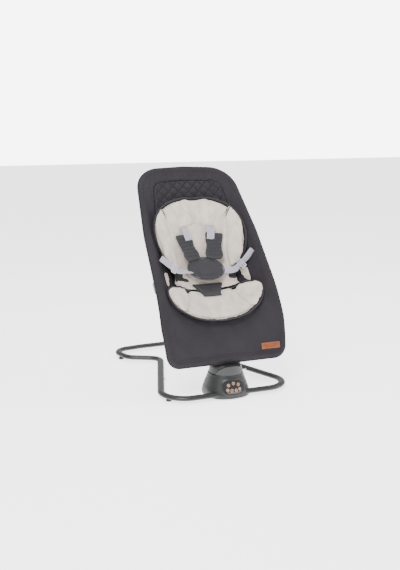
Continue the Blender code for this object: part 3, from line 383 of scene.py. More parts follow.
def panel_paint(name):
    """Black touch panel with a ring of amber print for each key and a plain sign inside it; the print is
    given a painted glow.
    """
    paint = Paint(name, (0.006, 0.005, 0.006), 0.09, Coat_Weight=0.6, Coat_Roughness=0.04)
    x, _, z = paint.axes()
    ink = None
    for i, (key_x, key_z) in enumerate(KEYS):
        across, up = x - key_x, z - (PANEL_Z + key_z)
        reach = (across * across + up * up) ** 0.5
        ring = 1 - abs(reach - 0.0043).step(0.0003, 0.0008)
        signs = [
            1 - abs(reach - 0.0016).step(0.0003, 0.0007),
            (1 - abs(across).step(0.0004, 0.0008)) * (1 - abs(up).step(0.0018, 0.0024)),
            (1 - abs(up - abs(across) * 0.9 + 0.0008).step(0.0005, 0.0009)) * (1 - abs(across).step(0.0018,
                0.0024)),
        ]
        mark = (ring * 0.75).high(signs[i % 3])
        ink = mark if ink is None else ink.high(mark)
    smudge = paint.noise(45, 4.0, 0.6)
    paint.feed("Base Color", paint.mix(ink * 0.9, (0.006, 0.005, 0.006), (0.52, 0.34, 0.24)))
    # Painted light: the amber print is made to glow a little.
    paint.feed("Emission Color", paint.mix(ink, (0, 0, 0), (0.85, 0.42, 0.22)))
    paint.shader.inputs["Emission Strength"].default_value = 0.9
    paint.feed("Roughness", smudge * 0.10 + ink * 0.25 + 0.05)
    return paint.material


def floor_paint(name):
    paint = Paint(name, (0.90, 0.90, 0.895), 0.55)
    cloud = paint.noise(1.5, 2.0)
    paint.feed("Base Color", paint.mix(cloud, (0.895, 0.895, 0.89), (0.91, 0.91, 0.905)))
    paint.shader.inputs["Emission Color"].default_value = (1, 1, 1, 1)
    paint.shader.inputs["Emission Strength"].default_value = 2.2
    return paint.material


PLUM = (0.027, 0.0240, 0.0295)
PLUM_DARK = (0.0135, 0.0120, 0.0150)
CREAM = (0.600, 0.530, 0.470)
CREAM_DARK = (0.430, 0.365, 0.310)
SLATE = (0.0165, 0.0160, 0.0205)
SLATE_DARK = (0.0085, 0.0082, 0.0105)

CANVAS = canvas_paint("sling_canvas", PLUM, PLUM_DARK)
CANVAS_PLAIN = canvas_paint("canvas_plain", PLUM, PLUM_DARK, lines=False)
STITCHING = padding_paint("seam_thread", (0.060, 0.050, 0.043), (0.034, 0.029, 0.025))
VELOUR = velour_paint("cream_velour", CREAM, CREAM_DARK)
PIPING = padding_paint("piping_cloth", (0.013, 0.012, 0.015), (0.008, 0.0075, 0.010))
BINDING = padding_paint("binding_cloth", (0.050, 0.046, 0.054), (0.032, 0.030, 0.036))
PADDING = padding_paint("slate_padding", SLATE, SLATE_DARK)
WEBBING = webbing_paint("lilac_webbing", (0.42, 0.39, 0.47), (0.25, 0.235, 0.29))
LEATHER = leather_paint("tan_leather")
POD_PLASTIC = moulded_paint("pod_plastic", (0.0085, 0.0098, 0.0098), 0.40)
# Painted shade: a darker copy of the pod plastic for the seat carrier, which sits in the seat's shadow.
NECK_PLASTIC_SHADED = moulded_paint("neck_plastic_painted_shade", (0.0065, 0.0072, 0.0072), 0.50)
NYLON = moulded_paint("white_nylon", (0.46, 0.44, 0.48), 0.40, 900, 0.12)
RELEASE = moulded_paint("release_red", (0.45, 0.10, 0.05), 0.38)
GLOSS = moulded_paint("gloss_black", (0.012, 0.011, 0.012), 0.16, 300, 0.04)
ENAMEL = enamel_paint("tube_enamel", (0.019, 0.0215, 0.020))
STEEL = metal_paint("zinc_steel", (0.56, 0.57, 0.59), 0.34)
BRONZE = metal_paint("sintered_bronze", (0.50, 0.34, 0.16), 0.42)
RUBBER = rubber_paint("foot_rubber")
BOARD = board_paint("control_board_mask")
PANEL = panel_paint("touch_panel")

SLOT_FINISH = {
    "tube_grey": ENAMEL, "pod_grey": POD_PLASTIC, "steel": STEEL, "black_gloss": GLOSS, "rubber": RUBBER,
    "board_green": BOARD, "nylon_white": NYLON, "plum_fabric": CANVAS_PLAIN, "beige_velour": VELOUR,
    "webbing_white": WEBBING, "tan_patch": LEATHER, "bronze": BRONZE, "pad_grey": PADDING,
}
NODE_FINISH = {"buckle_button": RELEASE, "seat_carrier": NECK_PLASTIC_SHADED}


# ---------------------------------------------------------------- the seat's surface


def table_at(table, s, soften=0.022):
    """A smooth reading of a table of (s, value) pairs."""
    keys, values = zip(*table)
    s = np.asarray(s, float)
    reads = [np.interp(s + soften * k / 4, keys, values) for k in range(-4, 5)]
    return sum(reads) / len(reads)


def rail(s):
    """(y, z, out_y, out_z) of the rails' line at distances s."""
    s = np.asarray(s, float)
    angle = np.where(s < RAIL_ARC, RAIL_LOW - s / RAIL_RADIUS, RAIL_BACK)
    rest = np.maximum(s - RAIL_ARC, 0.0)
    y = RAIL_FOOT[0] + RAIL_RADIUS * (sin(RAIL_LOW) - np.sin(angle)) + rest * np.cos(angle)
    z = RAIL_FOOT[1] + RAIL_RADIUS * (np.cos(angle) - cos(RAIL_LOW)) + rest * np.sin(angle)
    return y, z, -np.sin(angle), np.cos(angle)


def on_seat(x, s, off):
    """Places in the row frame, one row each."""
    y, z, out_y, out_z = rail(s)
    x = np.asarray(x, float)
    return np.stack([x + 0 * y, y + out_y * off, z + out_z * off], axis=-1)


def seat_point(x, s, off):
    return Vector(on_seat(x, s, off))


def half_width(s):
    """Half the distance between the side rails' centre lines."""
    return np.interp(s, [0.0, 0.030, 0.115, 0.440, 0.600, 0.698],
        [0.190, 0.1955, 0.1985, 0.188, 0.172, 0.160])


def sling_height(x, s):
    share = np.minimum(1.0, np.abs(x) / (half_width(s) - 0.0084))
    middle = table_at(SLING_MIDDLE, s)
    return middle + (0.007 - middle) * share**2.4


def head_half(s):
    s = np.asarray(s, float)
    top = 0.160 * np.maximum(0.0, 1 - (np.maximum(s - 0.440, 0) / 0.123) ** 2.8) ** 0.42
    low = 0.160 * np.sqrt(np.maximum(0.0, 1 - (np.maximum(0.440 - s, 0) / 0.150) ** 2))
    return np.where(s >= 0.440, top, np.maximum(0.098, low))


def lap_half(s):
    s = np.asarray(s, float)
    low = 0.163 * np.sqrt(np.maximum(0.0, 1 - (np.maximum(0.220 - s, 0) / 0.095) ** 2))
    top = 0.163 * np.maximum(0.0, 1 - (np.maximum(s - 0.220, 0) / 0.044) ** 3) ** 0.4
    return np.where(s <= 0.220, low, np.maximum(0.098, top))


def bowl_height(x, s):
    """Height of the insert's face above the rails' surface."""
    s = np.asarray(s, float)
    half = np.maximum(np.where(s > 0.2635, head_half(s), lap_half(s)), 0.03)
    share = np.minimum(1.0, np.abs(x) / half)
    middle = table_at(BOWL_MIDDLE, s)
    return middle + (table_at(BOWL_EDGE, s, 0.006) - middle) * share**2.2


# ---------------------------------------------------------------- making pieces


def piece(name, mesh, paint, body, stands_for=(), smooth=True):
    obj = bpy.data.objects.new(name, mesh)
    bpy.context.scene.collection.objects.link(obj)
    mesh.materials.clear()
    mesh.materials.append(paint)
    if smooth:
        mesh.shade_smooth()
    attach(obj, body)
    if stands_for:
        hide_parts(*stands_for)
    return obj


def finished(name, shape, sharp=None):
    bmesh.ops.remove_doubles(shape, verts=shape.verts, dist=1e-6)
    bmesh.ops.recalc_face_normals(shape, faces=shape.faces)
    mesh = bpy.data.meshes.new(name)
    shape.to_mesh(mesh)
    shape.free()
    if sharp:
        mesh.shade_smooth()
        mesh.set_sharp_from_angle(angle=radians(sharp))
    return mesh


def applied(obj):
    """The object's mesh with its modifiers applied; the object goes."""
    depsgraph = bpy.context.evaluated_depsgraph_get()
    made = bpy.data.meshes.new_from_object(obj.evaluated_get(depsgraph))
    bpy.data.objects.remove(obj, do_unlink=True)
    return made


def scratch(mesh):
    obj = bpy.data.objects.new("scratch", mesh)
    bpy.context.scene.collection.objects.link(obj)
    return obj


def places(mesh):
    found = np.zeros(len(mesh.vertices) * 3)
    mesh.vertices.foreach_get("co", found)
    return found.reshape(-1, 3)


def set_places(mesh, found):
    mesh.vertices.foreach_set("co", np.ascontiguousarray(found, float).ravel())
    mesh.update()


def write_lay(mesh, values):
    layer = mesh.attributes.new("lay", "FLOAT_VECTOR", "POINT")
    layer.data.foreach_set("vector", np.ascontiguousarray(values, np.float32).ravel())


def filleted(corners, step=0.006):
    """Points along a line through (x, y, radius) corners, each rounded by an arc of that radius."""
    found = [Vector(corners[0][:2])]
    for before, here, after in zip(corners, corners[1:], corners[2:]):
        at = Vector(here[:2])
        radius = here[2]
        back = (Vector(before[:2]) - at).normalized()
        on = (Vector(after[:2]) - at).normalized()
        half_turn = (pi - back.angle(on)) / 2
        if radius == 0 or half_turn < 1e-3:
            found.append(at)
            continue
        start = at + back * radius * tan(half_turn)
        centre = at + (back + on).normalized() * radius / cos(half_turn)
        arm = start - centre
        way = 1 if arm.x * (at - start).y - arm.y * (at - start).x > 0 else -1
        count = max(6, round(2 * half_turn * radius / step))
        for i in range(count + 1):
            found.append(centre + Matrix.Rotation(way * 2 * half_turn * i / count, 2) @ arm)
    found.append(Vector(corners[-1][:2]))
    return found


def even_line(points, gap, closed=False):
    """Points dealt out again along a line, about gap apart."""
    points = [Vector(p) for p in points]
    if closed:
        points = points + [points[0]]
    reach = np.cumsum([0.0] + [(b - a).length for a, b in zip(points, points[1:])])
    count = max(4, round(reach[-1] / gap))
    goals = np.linspace(0, reach[-1], count + 1)
    flat = np.array([list(p) for p in points])
    dealt = np.stack([np.interp(goals, reach, flat[:, i]) for i in range(flat.shape[1])], axis=1)
    found = [Vector(p) for p in dealt]
    return found[:-1] if closed else found


def soft_curve(points, gap=0.004, closed=False):
    """An even Catmull-Rom curve through a few points."""
    points = [Vector(p) for p in points]
    if closed:
        ring = [points[-1]] + points + [points[0], points[1]]
    else:
        ring = [2 * points[0] - points[1]] + points + [2 * points[-1] - points[-2]]
    found = []
    for a, b, c, d in zip(ring, ring[1:], ring[2:], ring[3:]):
        for i in range(12):
            t = i / 12
            found.append(
                0.5 * (
                    2 * b + (c - a) * t + (2 * a - 5 * b + 4 * c - d) * t**2
                    + (3 * b - a - 3 * c + d) * t**3
                )
            )
    if not closed:
        found.append(points[-1])
    return even_line(found, gap, closed)


def line_distance(x, s, line, closed=False):
    """Distance of flat places from a line of (x, s) points."""
    ends = [np.array(p[:2]) for p in line]
    if closed:
        ends = ends + [ends[0]]
    at = np.stack([x, s], axis=-1)
    best = np.full(len(at), 1e9)
    for a, b in zip(ends, ends[1:]):
        run = b - a
        share = np.clip(((at - a) @ run) / max(run @ run, 1e-12), 0, 1)
        best = np.minimum(best, np.linalg.norm(at - a - share[:, None] * run, axis=1))
    return best


def tube_mesh(name, path, radius, sides=20, closed=False, flat=1.0, flat_z=0.0, caps=True):
    """A round cord or rod along a path; flat squeezes it in Z about a height."""
    curve = bpy.data.curves.new(name, "CURVE")
    curve.dimensions = "3D"
    curve.bevel_depth = radius
    curve.bevel_resolution = sides // 4
    curve.use_fill_caps = caps and not closed
    spline = curve.splines.new("POLY")
    spline.points.add(len(path) - 1)
    for point, at in zip(spline.points, path):
        point.co = (*at, 1)
    spline.use_cyclic_u = closed
    obj = bpy.data.objects.new(name, curve)
    bpy.context.scene.collection.objects.link(obj)
    mesh = applied(obj)
    shape = bmesh.new()
    shape.from_mesh(mesh)
    if flat != 1.0:
        for vert in shape.verts:
            vert.co.z = flat_z + (vert.co.z - flat_z) * flat
    bpy.data.meshes.remove(mesh)
    return finished(name, shape, 50)


# ---------------------------------------------------------------- sewing in lay space


def prism(outline, thick):
    """A flat slab over an (x, s) outline, h from 0 to thick."""
    shape = bmesh.new()
    face = shape.faces.new([shape.verts.new((p[0], p[1], 0.0)) for p in outline])
    raised = bmesh.ops.extrude_face_region(shape, geom=[face])["geom"]
    bmesh.ops.translate(shape, verts=[v for v in raised if isinstance(v, bmesh.types.BMVert)],
        vec=(0, 0, thick))
    return finished("slab", shape)


def stuffed(outline, thick, cap, pressure=4.0, voxel=0.0045, refine=1):
    """A slab blown up like a sewn pad: remeshed, inflated as cloth, its travel capped, then smoothed."""
    obj = scratch(prism(outline, thick))
    remesh = obj.modifiers.new("voxels", "REMESH")
    remesh.mode = "VOXEL"
    remesh.voxel_size = voxel
    mesh = applied(obj)
    start = places(mesh)
    mesh = inflated(mesh, start, cap, pressure)
    obj = scratch(mesh)
    smooth = obj.modifiers.new("smooth", "SMOOTH")
    smooth.factor = 0.5
    smooth.iterations = 3
    if refine:
        finer = obj.modifiers.new("finer", "SUBSURF")
        finer.levels = refine
        finer.render_levels = refine
    return applied(obj)


def inflated(mesh, start, cap, pressure):
    obj = scratch(mesh)
    cloth = obj.modifiers.new("cloth", "CLOTH")
    cloth.settings.quality = 6
    cloth.settings.mass = 0.25
    cloth.settings.tension_stiffness = 12
    cloth.settings.compression_stiffness = 12
    cloth.settings.bending_stiffness = 0.4
    cloth.settings.use_pressure = True
    cloth.settings.uniform_pressure_force = pressure
    cloth.settings.effector_weights.gravity = 0
    cloth.collision_settings.use_collision = False
    cloth.point_cache.frame_start = 1
    cloth.point_cache.frame_end = 24
    scene = bpy.context.scene
    for step in range(1, 21):
        scene.frame_set(step)
    made = applied(obj)
    travel = places(made) - start
    travel -= travel.mean(axis=0)
    length = np.linalg.norm(travel, axis=1)
    travel *= (np.minimum(1.0, cap / np.maximum(length, 1e-9)))[:, None]
    set_places(made, start + travel)
    scene.frame_set(1)
    return made


def sewn(mesh, outline, floor, creases=(), ripples=None):
    """Presses creases into a flat pad's face, then bends it onto the seat over a floor surface."""
    flat = places(mesh)
    x, s, h = flat[:, 0], flat[:, 1], flat[:, 2]
    top = np.clip((h - h.min()) / max(h.max() - h.min(), 1e-6), 0, 1)
    for line, depth, wide in creases:
        h = h - depth * top * np.exp(-((line_distance(x, s, line) / wide) ** 2))
    if ripples is not None:
        h = h + top * ripples(x, s)
    write_lay(mesh, np.stack([x, s, line_distance(x, s, outline, closed=True)], axis=1))
    set_places(mesh, on_seat(x, s, floor(x, s) + h))
    return mesh


def mirrored(points):
    """The same line on the other side of the seat."""
    return [(-p[0], p[1]) for p in points]


def pad_set(name, outline, thick, cap, floor, paint, slot_name, fill, creases=(), ripples=None,
    stands_for=(), **kw):
    mesh = sewn(stuffed(outline, thick, cap, **kw), outline, floor, creases, ripples)
    obj = piece(name, mesh, paint, "seat", stands_for)
    return obj


# ---------------------------------------------------------------- sling


def soft_step(value, low, high):
    share = np.clip((value - low) / (high - low), 0, 1)
    return share * share * (3 - 2 * share)


def wander(x, s, wide, tall, seed):
    """Smooth noise over the flat cloth, -1 to 1, with lumps of that width and height."""
    return np.array([noise.noise((a / wide, b / tall, seed)) for a, b in zip(x, s)])


def both_sides(half):
    """A closed outline from its right half, top middle to bottom middle."""
    points = [Vector(p) for p in half]
    return soft_curve(points + [Vector((-p.x, p.y)) for p in reversed(points[1:-1])], 0.003, closed=True)


def seat_outline(gap):
    half = filleted(SEAT_CORNERS, 0.004)
    return even_line(half + [Vector((-p.x, p.y)) for p in reversed(half[1:-1])], gap, closed=True)


HOOK = [radians(a) for a in (-70, -52, -34, -16, 2, 20, 38, 56, 74, 92, 110, 127, 143)]
RINGS = 60
DARTS = [[(0.127, 0.618), (0.108, 0.564)], [(-0.137, 0.624), (-0.129, 0.543)],
    [(0.151, 0.591), (0.140, 0.550)]]
QUILT_HALF = 0.124


def sling_shape(x, s, deep):
    """How far the sling's cloth stands off its plain surface: seams, quilting, wrinkles and slack."""
    banded = soft_step(s, 0.185, 0.225)
    rise = -0.0024 * np.exp(-(((deep - BAND_WIDE) / 0.0024) ** 2)) * banded
    pucker = wander(x, s, 0.009, 0.009, 3.1)
    rise += 0.0013 * banded * pucker * np.exp(-(((deep - BAND_WIDE) / 0.009) ** 2))
    body = soft_step(deep, 0.012, 0.050)
    rise += body * 0.0022 * wander(x, s, 0.070, 0.110, 8.4)
    band_top = soft_step(s, 0.600, 0.650) * soft_step(deep, 0.008, 0.020)
    band_top *= 1 - soft_step(deep, BAND_WIDE - 0.006, BAND_WIDE)
    rise += band_top * 0.0042 * wander(x, s, 0.016, 0.060, 1.7)
    sides = soft_step(deep, 0.008, 0.018) * (1 - soft_step(deep, BAND_WIDE - 0.008,
        BAND_WIDE)) * (1 - soft_step(s, 0.56, 0.62))
    rise += sides * 0.0014 * wander(x, s, 0.030, 0.026, 5.2)
    front = soft_step(s, 0.015, 0.050) * (1 - soft_step(s, 0.110, 0.190))
    rise += front * 0.0020 * wander(x + s * 0.6, s, 0.030, 0.120, 2.2)
    panel = (1 - soft_step(np.abs(x), QUILT_HALF - 0.004, QUILT_HALF + 0.004)) * soft_step(s, QUILT_LOW,
        QUILT_LOW + 0.008)
    panel *= soft_step(deep, BAND_WIDE + 0.001, BAND_WIDE + 0.006)
    cells = np.abs(np.sin(pi * (x + s) / DIAMOND)) * np.abs(np.sin(pi * (x - s) / DIAMOND))
    rise += panel * 0.0062 * cells**0.5
    for line in DARTS:
        rise -= 0.0030 * np.exp(-((line_distance(x, s, line) / 0.0026) ** 2))
    rise -= 0.0016 * np.exp(-(((deep - 0.0150) / 0.0018) ** 2)) * (1 - soft_step(s, 0.020, 0.040))
    for side in (-1, 1):
        slit = [(side * 0.155, 0.399), (side * 0.177, 0.399)]
        rise -= 0.0022 * np.exp(-((line_distance(x, s, slit) / 0.0020) ** 2))
    return rise


def sling_sheet():
    loop = seat_outline(0.0052)
    count = len(loop)
    centre = np.array([list(p) for p in loop])
    run = np.roll(centre, -1, 0) - np.roll(centre, 1, 0)
    run /= np.linalg.norm(run, axis=1)[:, None]
    inward = np.stack([-run[:, 1], run[:, 0]], axis=1)
    rows = len(HOOK) - 1 + RINGS
    shape = bmesh.new()
    bmesh.ops.create_grid(shape, x_segments=count, y_segments=rows, size=1.0)
    grid = np.array([vert.co[:2] for vert in shape.verts])
    column = np.rint((grid[:, 0] + 1) / 2 * count).astype(int) % count
    row = np.rint((grid[:, 1] + 1) / 2 * rows).astype(int)
    angle = np.array(HOOK)[np.minimum(row, len(HOOK) - 1)]
    start = centre[column] - inward[column] * (SLING_OUT * np.cos(angle))[:, None]
    share = np.clip((row - len(HOOK) + 1) / RINGS, 0, 1)
    spine = np.stack([0 * share, np.clip(start[:, 1], 0.10, 0.62)], axis=1)
    flat = start + (spine - start) * share[:, None]
    x, s = flat[:, 0], flat[:, 1]
    deep = line_distance(x, s, loop, closed=True)
    rim = SLING_OUT * np.sin(angle)
    inner = sling_height(x, s) + sling_shape(x, s, deep)
    near = soft_step(share, 0.0, 0.05)
    off = np.where(share > 0, rim * (1 - near) + inner * near, rim)
    layer = shape.verts.layers.float_vector.new("lay")
    for vert, place, value in zip(shape.verts, on_seat(x, s, off), np.stack([x, s, deep], axis=1)):
        vert.co = place
        vert[layer] = value
    bmesh.ops.remove_doubles(shape, verts=shape.verts, dist=2e-5)
    up = Vector(on_seat(0.0, 0.35, 1.0)) - Vector(on_seat(0.0, 0.35, 0.0))
    middle = min(shape.faces, key=lambda face: (face.calc_center_median() - seat_point(0.02, 0.35,
        -0.10)).length)
    shape.normal_update()
    if middle.normal.dot(up) < 0:
        bmesh.ops.reverse_faces(shape, faces=shape.faces)
    mesh = bpy.data.meshes.new("seat_sling")
    shape.to_mesh(mesh)
    shape.free()
    sling = piece("seat_sling", mesh, CANVAS, "seat", ["seat_cover"])
    wall = sling.modifiers.new("cloth", "SOLIDIFY")
    wall.thickness = 0.0018
    wall.offset = -1
    edge = [
        seat_point(*(centre[i] - inward[i] * 0.0118 * cos(0.35)), 0.0118 * sin(0.35)) for i in range(count)
    ]
    cord = piece(
        "sling_piping", tube_mesh("sling_piping", edge, 0.0017, 12, closed=True), PIPING, "seat",
        ["seat_cover"],
    )
    return sling


# ---------------------------------------------------------------- cream insert


HEAD_RIM = both_sides(
    [
        (0.0, 0.573), (0.030, 0.572), (0.066, 0.566), (0.102, 0.551), (0.130, 0.528), (0.147, 0.503),
        (0.158, 0.469),
        (0.160, 0.440), (0.158, 0.416), (0.151, 0.390), (0.142, 0.368), (0.130, 0.349), (0.115, 0.333),
        (0.103, 0.320),
        (0.097, 0.304), (0.094, 0.285), (0.088, 0.269), (0.0, 0.2645),
    ]
)
LAP_RIM = both_sides(
    [
        (0.0, 0.2540), (0.060, 0.2540), (0.100, 0.2560), (0.125, 0.2585), (0.147, 0.2545), (0.159, 0.2440),
        (0.1635, 0.2300), (0.161, 0.2110), (0.152, 0.1900), (0.138, 0.1725), (0.117, 0.1570), (0.092, 0.1420),
        (0.068, 0.1335), (0.038, 0.1275), (0.0, 0.1255),
    ]
)
BOLSTER = [
    (0.121, 0.534), (0.134, 0.522), (0.147, 0.500), (0.1565, 0.465), (0.1545, 0.416), (0.144, 0.377),
    (0.124, 0.347),
    (0.102, 0.333), (0.092, 0.337), (0.0895, 0.366), (0.0890, 0.410), (0.094, 0.453), (0.102, 0.495),
    (0.110, 0.514),
]
PILLOW = both_sides(
    [
        (0.0, 0.5705), (0.030, 0.5695), (0.064, 0.5635), (0.097, 0.5500), (0.117, 0.534), (0.109, 0.514),
        (0.097, 0.495),
        (0.082, 0.482), (0.059, 0.4725), (0.033, 0.4750), (0.013, 0.4815), (0.0, 0.4840),
    ]
)
BACK = both_sides(
    [
        (0.0, 0.500), (0.060, 0.495), (0.094, 0.490), (0.0980, 0.475), (0.0910, 0.447), (0.0860, 0.410),
        (0.0865, 0.366), (0.0895, 0.340), (0.080, 0.318), (0.0, 0.312),
    ]
)
WAIST = both_sides([(0.0, 0.345), (0.060, 0.340), (0.104, 0.330), (0.112, 0.305), (0.110, 0.275),
    (0.094, 0.2600), (0.0, 0.2560)])
WING = [
    (0.092, 0.2580), (0.081, 0.232), (0.0855, 0.203), (0.097, 0.183), (0.114, 0.163), (0.136, 0.1725),
    (0.152, 0.191),
    (0.1610, 0.212), (0.1635, 0.230), (0.159, 0.244), (0.143, 0.2525), (0.115, 0.2575),
]
APRON = both_sides(
    [
        (0.0, 0.262), (0.050, 0.262), (0.076, 0.261), (0.0775, 0.232), (0.0815, 0.201), (0.093, 0.180),
        (0.109, 0.163),
        (0.1065, 0.1525), (0.088, 0.1420), (0.064, 0.1345), (0.036, 0.1290), (0.0, 0.1270),
    ]
)
GUSSET = [(0.126, 0.326), (0.138, 0.330), (0.149, 0.320), (0.151, 0.296), (0.147, 0.272), (0.138, 0.276),
    (0.129, 0.296)]
# Painted shade: dark slate pads stand in for the shade in the gap between the insert's head and seat parts,
# under the waist belts.
HIP_SHADOW_PAD = [
    (0.108, 0.332), (0.080, 0.3345), (0.053, 0.333), (0.049, 0.316), (0.048, 0.298), (0.075, 0.291),
    (0.104, 0.288),
    (0.111, 0.310),
]
# Each crease of the head pillow: its line, its depth and its width
PILLOW_CREASES = [
    ([(-0.050, 0.552), (-0.046, 0.538), (-0.024, 0.526), (-0.004, 0.508)], 0.0058, 0.0050),
    ([(-0.026, 0.552), (-0.014, 0.536), (0.002, 0.522), (0.006, 0.498), (0.008, 0.476)], 0.0078, 0.0052),
    ([(-0.074, 0.522), (-0.056, 0.506), (-0.064, 0.476)], 0.0056, 0.0055),
    ([(-0.116, 0.514), (-0.104, 0.502), (-0.088, 0.478)], 0.0044, 0.0050),
    ([(0.040, 0.548), (0.052, 0.520), (0.052, 0.494), (0.036, 0.472)], 0.0052, 0.0055),
    ([(0.084, 0.526), (0.074, 0.498), (0.062, 0.474)], 0.0056, 0.0055),
    ([(0.020, 0.528), (0.022, 0.498), (0.026, 0.472)], 0.0052, 0.0055),
    ([(-0.030, 0.495), (-0.033, 0.476)], 0.0046, 0.0060),
]


def over(surface, lift):
    return lambda x, s: surface(x, s) + lift


def lumps(size, amount, seed):
    return lambda x, s: amount * wander(x, s, size, size, seed)


def rim_cord(name, outline, floor, height, radius, node):
    path = [seat_point(p.x, p.y, float(floor(np.array([p.x]), np.array([p.y]))[0]) + height) for p in outline]
    return piece(name, tube_mesh(name, path, radius, 12, closed=True), PIPING, "seat", [node])


def stitch_lines(name, lines, radius, pads, node):
    """Thread laid in the stitched valleys, following whatever pad lies under it."""
    bpy.context.view_layer.update()
    solid = bpy.context.evaluated_depsgraph_get()
    trees = [BVHTree.FromObject(bpy.data.objects[pad], solid) for pad in pads]
    joined = bmesh.new()
    for line in lines:
        path = []
        for p in soft_curve([Vector(q) for q in line], 0.0015):
            start, foot = seat_point(p.x, p.y, 0.030), seat_point(p.x, p.y, -0.080)
            ahead = (foot - start).normalized()
            hits = [hit[3] for hit in (tree.ray_cast(start, ahead) for tree in trees) if hit[0] is not None]
            if hits:
                path.append(start + ahead * (min(hits) + radius * 0.1))
        if len(path) < 3:
            continue
        path = [path[0]] + [(a + b * 2 + c) / 4 for a, b, c in zip(path, path[1:], path[2:])] + [path[-1]]
        cord = tube_mesh(name, path, radius, 8)
        joined.from_mesh(cord)
    mesh = bpy.data.meshes.new(name)
    joined.to_mesh(mesh)
    joined.free()
    return piece(name, mesh, STITCHING, "seat", [node])


def cream_insert():
    base = over(bowl_height, -0.0150)
    pad_set("head_rest_back", HEAD_RIM, 0.008, 0.0040, base, VELOUR, "beige_velour", 0.5, (),
        lumps(0.05, 0.0012, 1), ["insert_head"])
    pad_set("lap_pad_back", LAP_RIM, 0.008, 0.0040, base, VELOUR, "beige_velour", 0.5, (),
        lumps(0.05, 0.0012, 2), ["insert_seat"])
    rim_cord("head_rest_piping", HEAD_RIM, base, 0.0100, 0.0030, "insert_head")
    rim_cord("lap_pad_piping", LAP_RIM, base, 0.0100, 0.0030, "insert_seat")
    face = over(bowl_height, -0.0100)
    for side, word in ((-1, "left"), (1, "right")):
        turn = (lambda line: line) if side > 0 else mirrored
        bolster = soft_curve(turn(BOLSTER), 0.003, closed=True)
        pad_set(
            f"head_bolster_{word}", bolster, 0.010, 0.0100, over(bowl_height, -0.0080), VELOUR,
            "beige_velour", 0.8,
            [(turn([(0.126, 0.500), (0.131, 0.460)]), 0.0014, 0.008)], lumps(0.035, 0.0014, 3 + side),
            ["insert_head"],
        )
        wing = soft_curve(turn(WING), 0.003, closed=True)
        pad_set(
            f"leg_wing_{word}", wing, 0.009, 0.0085, over(bowl_height, -0.0080), VELOUR, "beige_velour", 0.75,
            [], lumps(0.030, 0.0014, 6 + side), ["insert_seat"],
        )
        gusset = soft_curve(turn(GUSSET), 0.003, closed=True)
        pad_set(
            f"hip_gusset_{word}", gusset, 0.003, 0.0020, over(sling_height, 0.001), VELOUR, "beige_velour",
            0.3,
            [], lumps(0.020, 0.0012, 9 + side), ["insert_head"], voxel=0.004,
        )
        # Painted shade: a dark slate pad under each waist belt, where the gap between the insert's parts lies
        # in shade.
        hip = soft_curve(turn(HIP_SHADOW_PAD), 0.003, closed=True)
        pad_set(
            f"hip_shadow_pad_{word}", hip, 0.004, 0.0030, over(bowl_height, -0.0040), PADDING, "pad_grey", 0.4,
            [], lumps(0.020, 0.0014, 12 + side), [f"waist_belt_{word}"], voxel=0.004,
        )
    pad_set("head_pillow", PILLOW, 0.010, 0.0095, face, VELOUR, "beige_velour", 0.85, PILLOW_CREASES,
        lumps(0.022, 0.0014, 4), ["insert_head"])
    back_creases = [([(-0.040, 0.434), (0.0, 0.4335), (0.044, 0.434)], 0.0036, 0.0030),
        ([(-0.05, 0.395), (0.05, 0.388)], 0.0015, 0.006)]
    pad_set("back_panel", BACK, 0.007, 0.0045, over(bowl_height, -0.0170), VELOUR, "beige_velour", 0.6,
        back_creases, lumps(0.030, 0.0014, 5), ["insert_head"])
    waist_creases = [([(-0.07, 0.275), (0.0, 0.283), (0.07, 0.275)], 0.0030, 0.004),
        ([(-0.09, 0.305), (-0.05, 0.297)], 0.0030, 0.005)]
    pad_set("waist_panel", WAIST, 0.008, 0.0050, over(bowl_height, -0.0095), VELOUR, "beige_velour", 0.5,
        waist_creases, lumps(0.016, 0.0030, 7), ["insert_head"])
    pad_set("lap_apron", APRON, 0.007, 0.0060, over(bowl_height, -0.0110), VELOUR, "beige_velour", 0.65, [],
        lumps(0.030, 0.0016, 8), ["insert_seat"])

    pads = ["head_pillow", "back_panel", "waist_panel", "head_bolster_left", "head_bolster_right",
        "lap_apron", "leg_wing_left", "leg_wing_right"]
    low = [(0.116, 0.531), (0.107, 0.511), (0.097, 0.495), (0.082, 0.4815), (0.059, 0.4725),
        (0.033, 0.4750), (0.013, 0.4815), (0.0, 0.4840)]
    bolster = [(0.128, 0.532), (0.1175, 0.520), (0.106, 0.500), (0.097, 0.475), (0.0915, 0.447),
        (0.0875, 0.410), (0.088, 0.366), (0.094, 0.336)]
    head = [low, mirrored(low), bolster, mirrored(bolster), [(-0.032, 0.434), (0.0, 0.4335), (0.036, 0.434)]]
    wing = [(0.0865, 0.2570), (0.0795, 0.232), (0.0835, 0.203), (0.095, 0.1815), (0.112, 0.1640)]
    stitch_lines("insert_seams", head + [wing, mirrored(wing)], 0.0017, pads, "insert_head")


# ---------------------------------------------------------------- harness


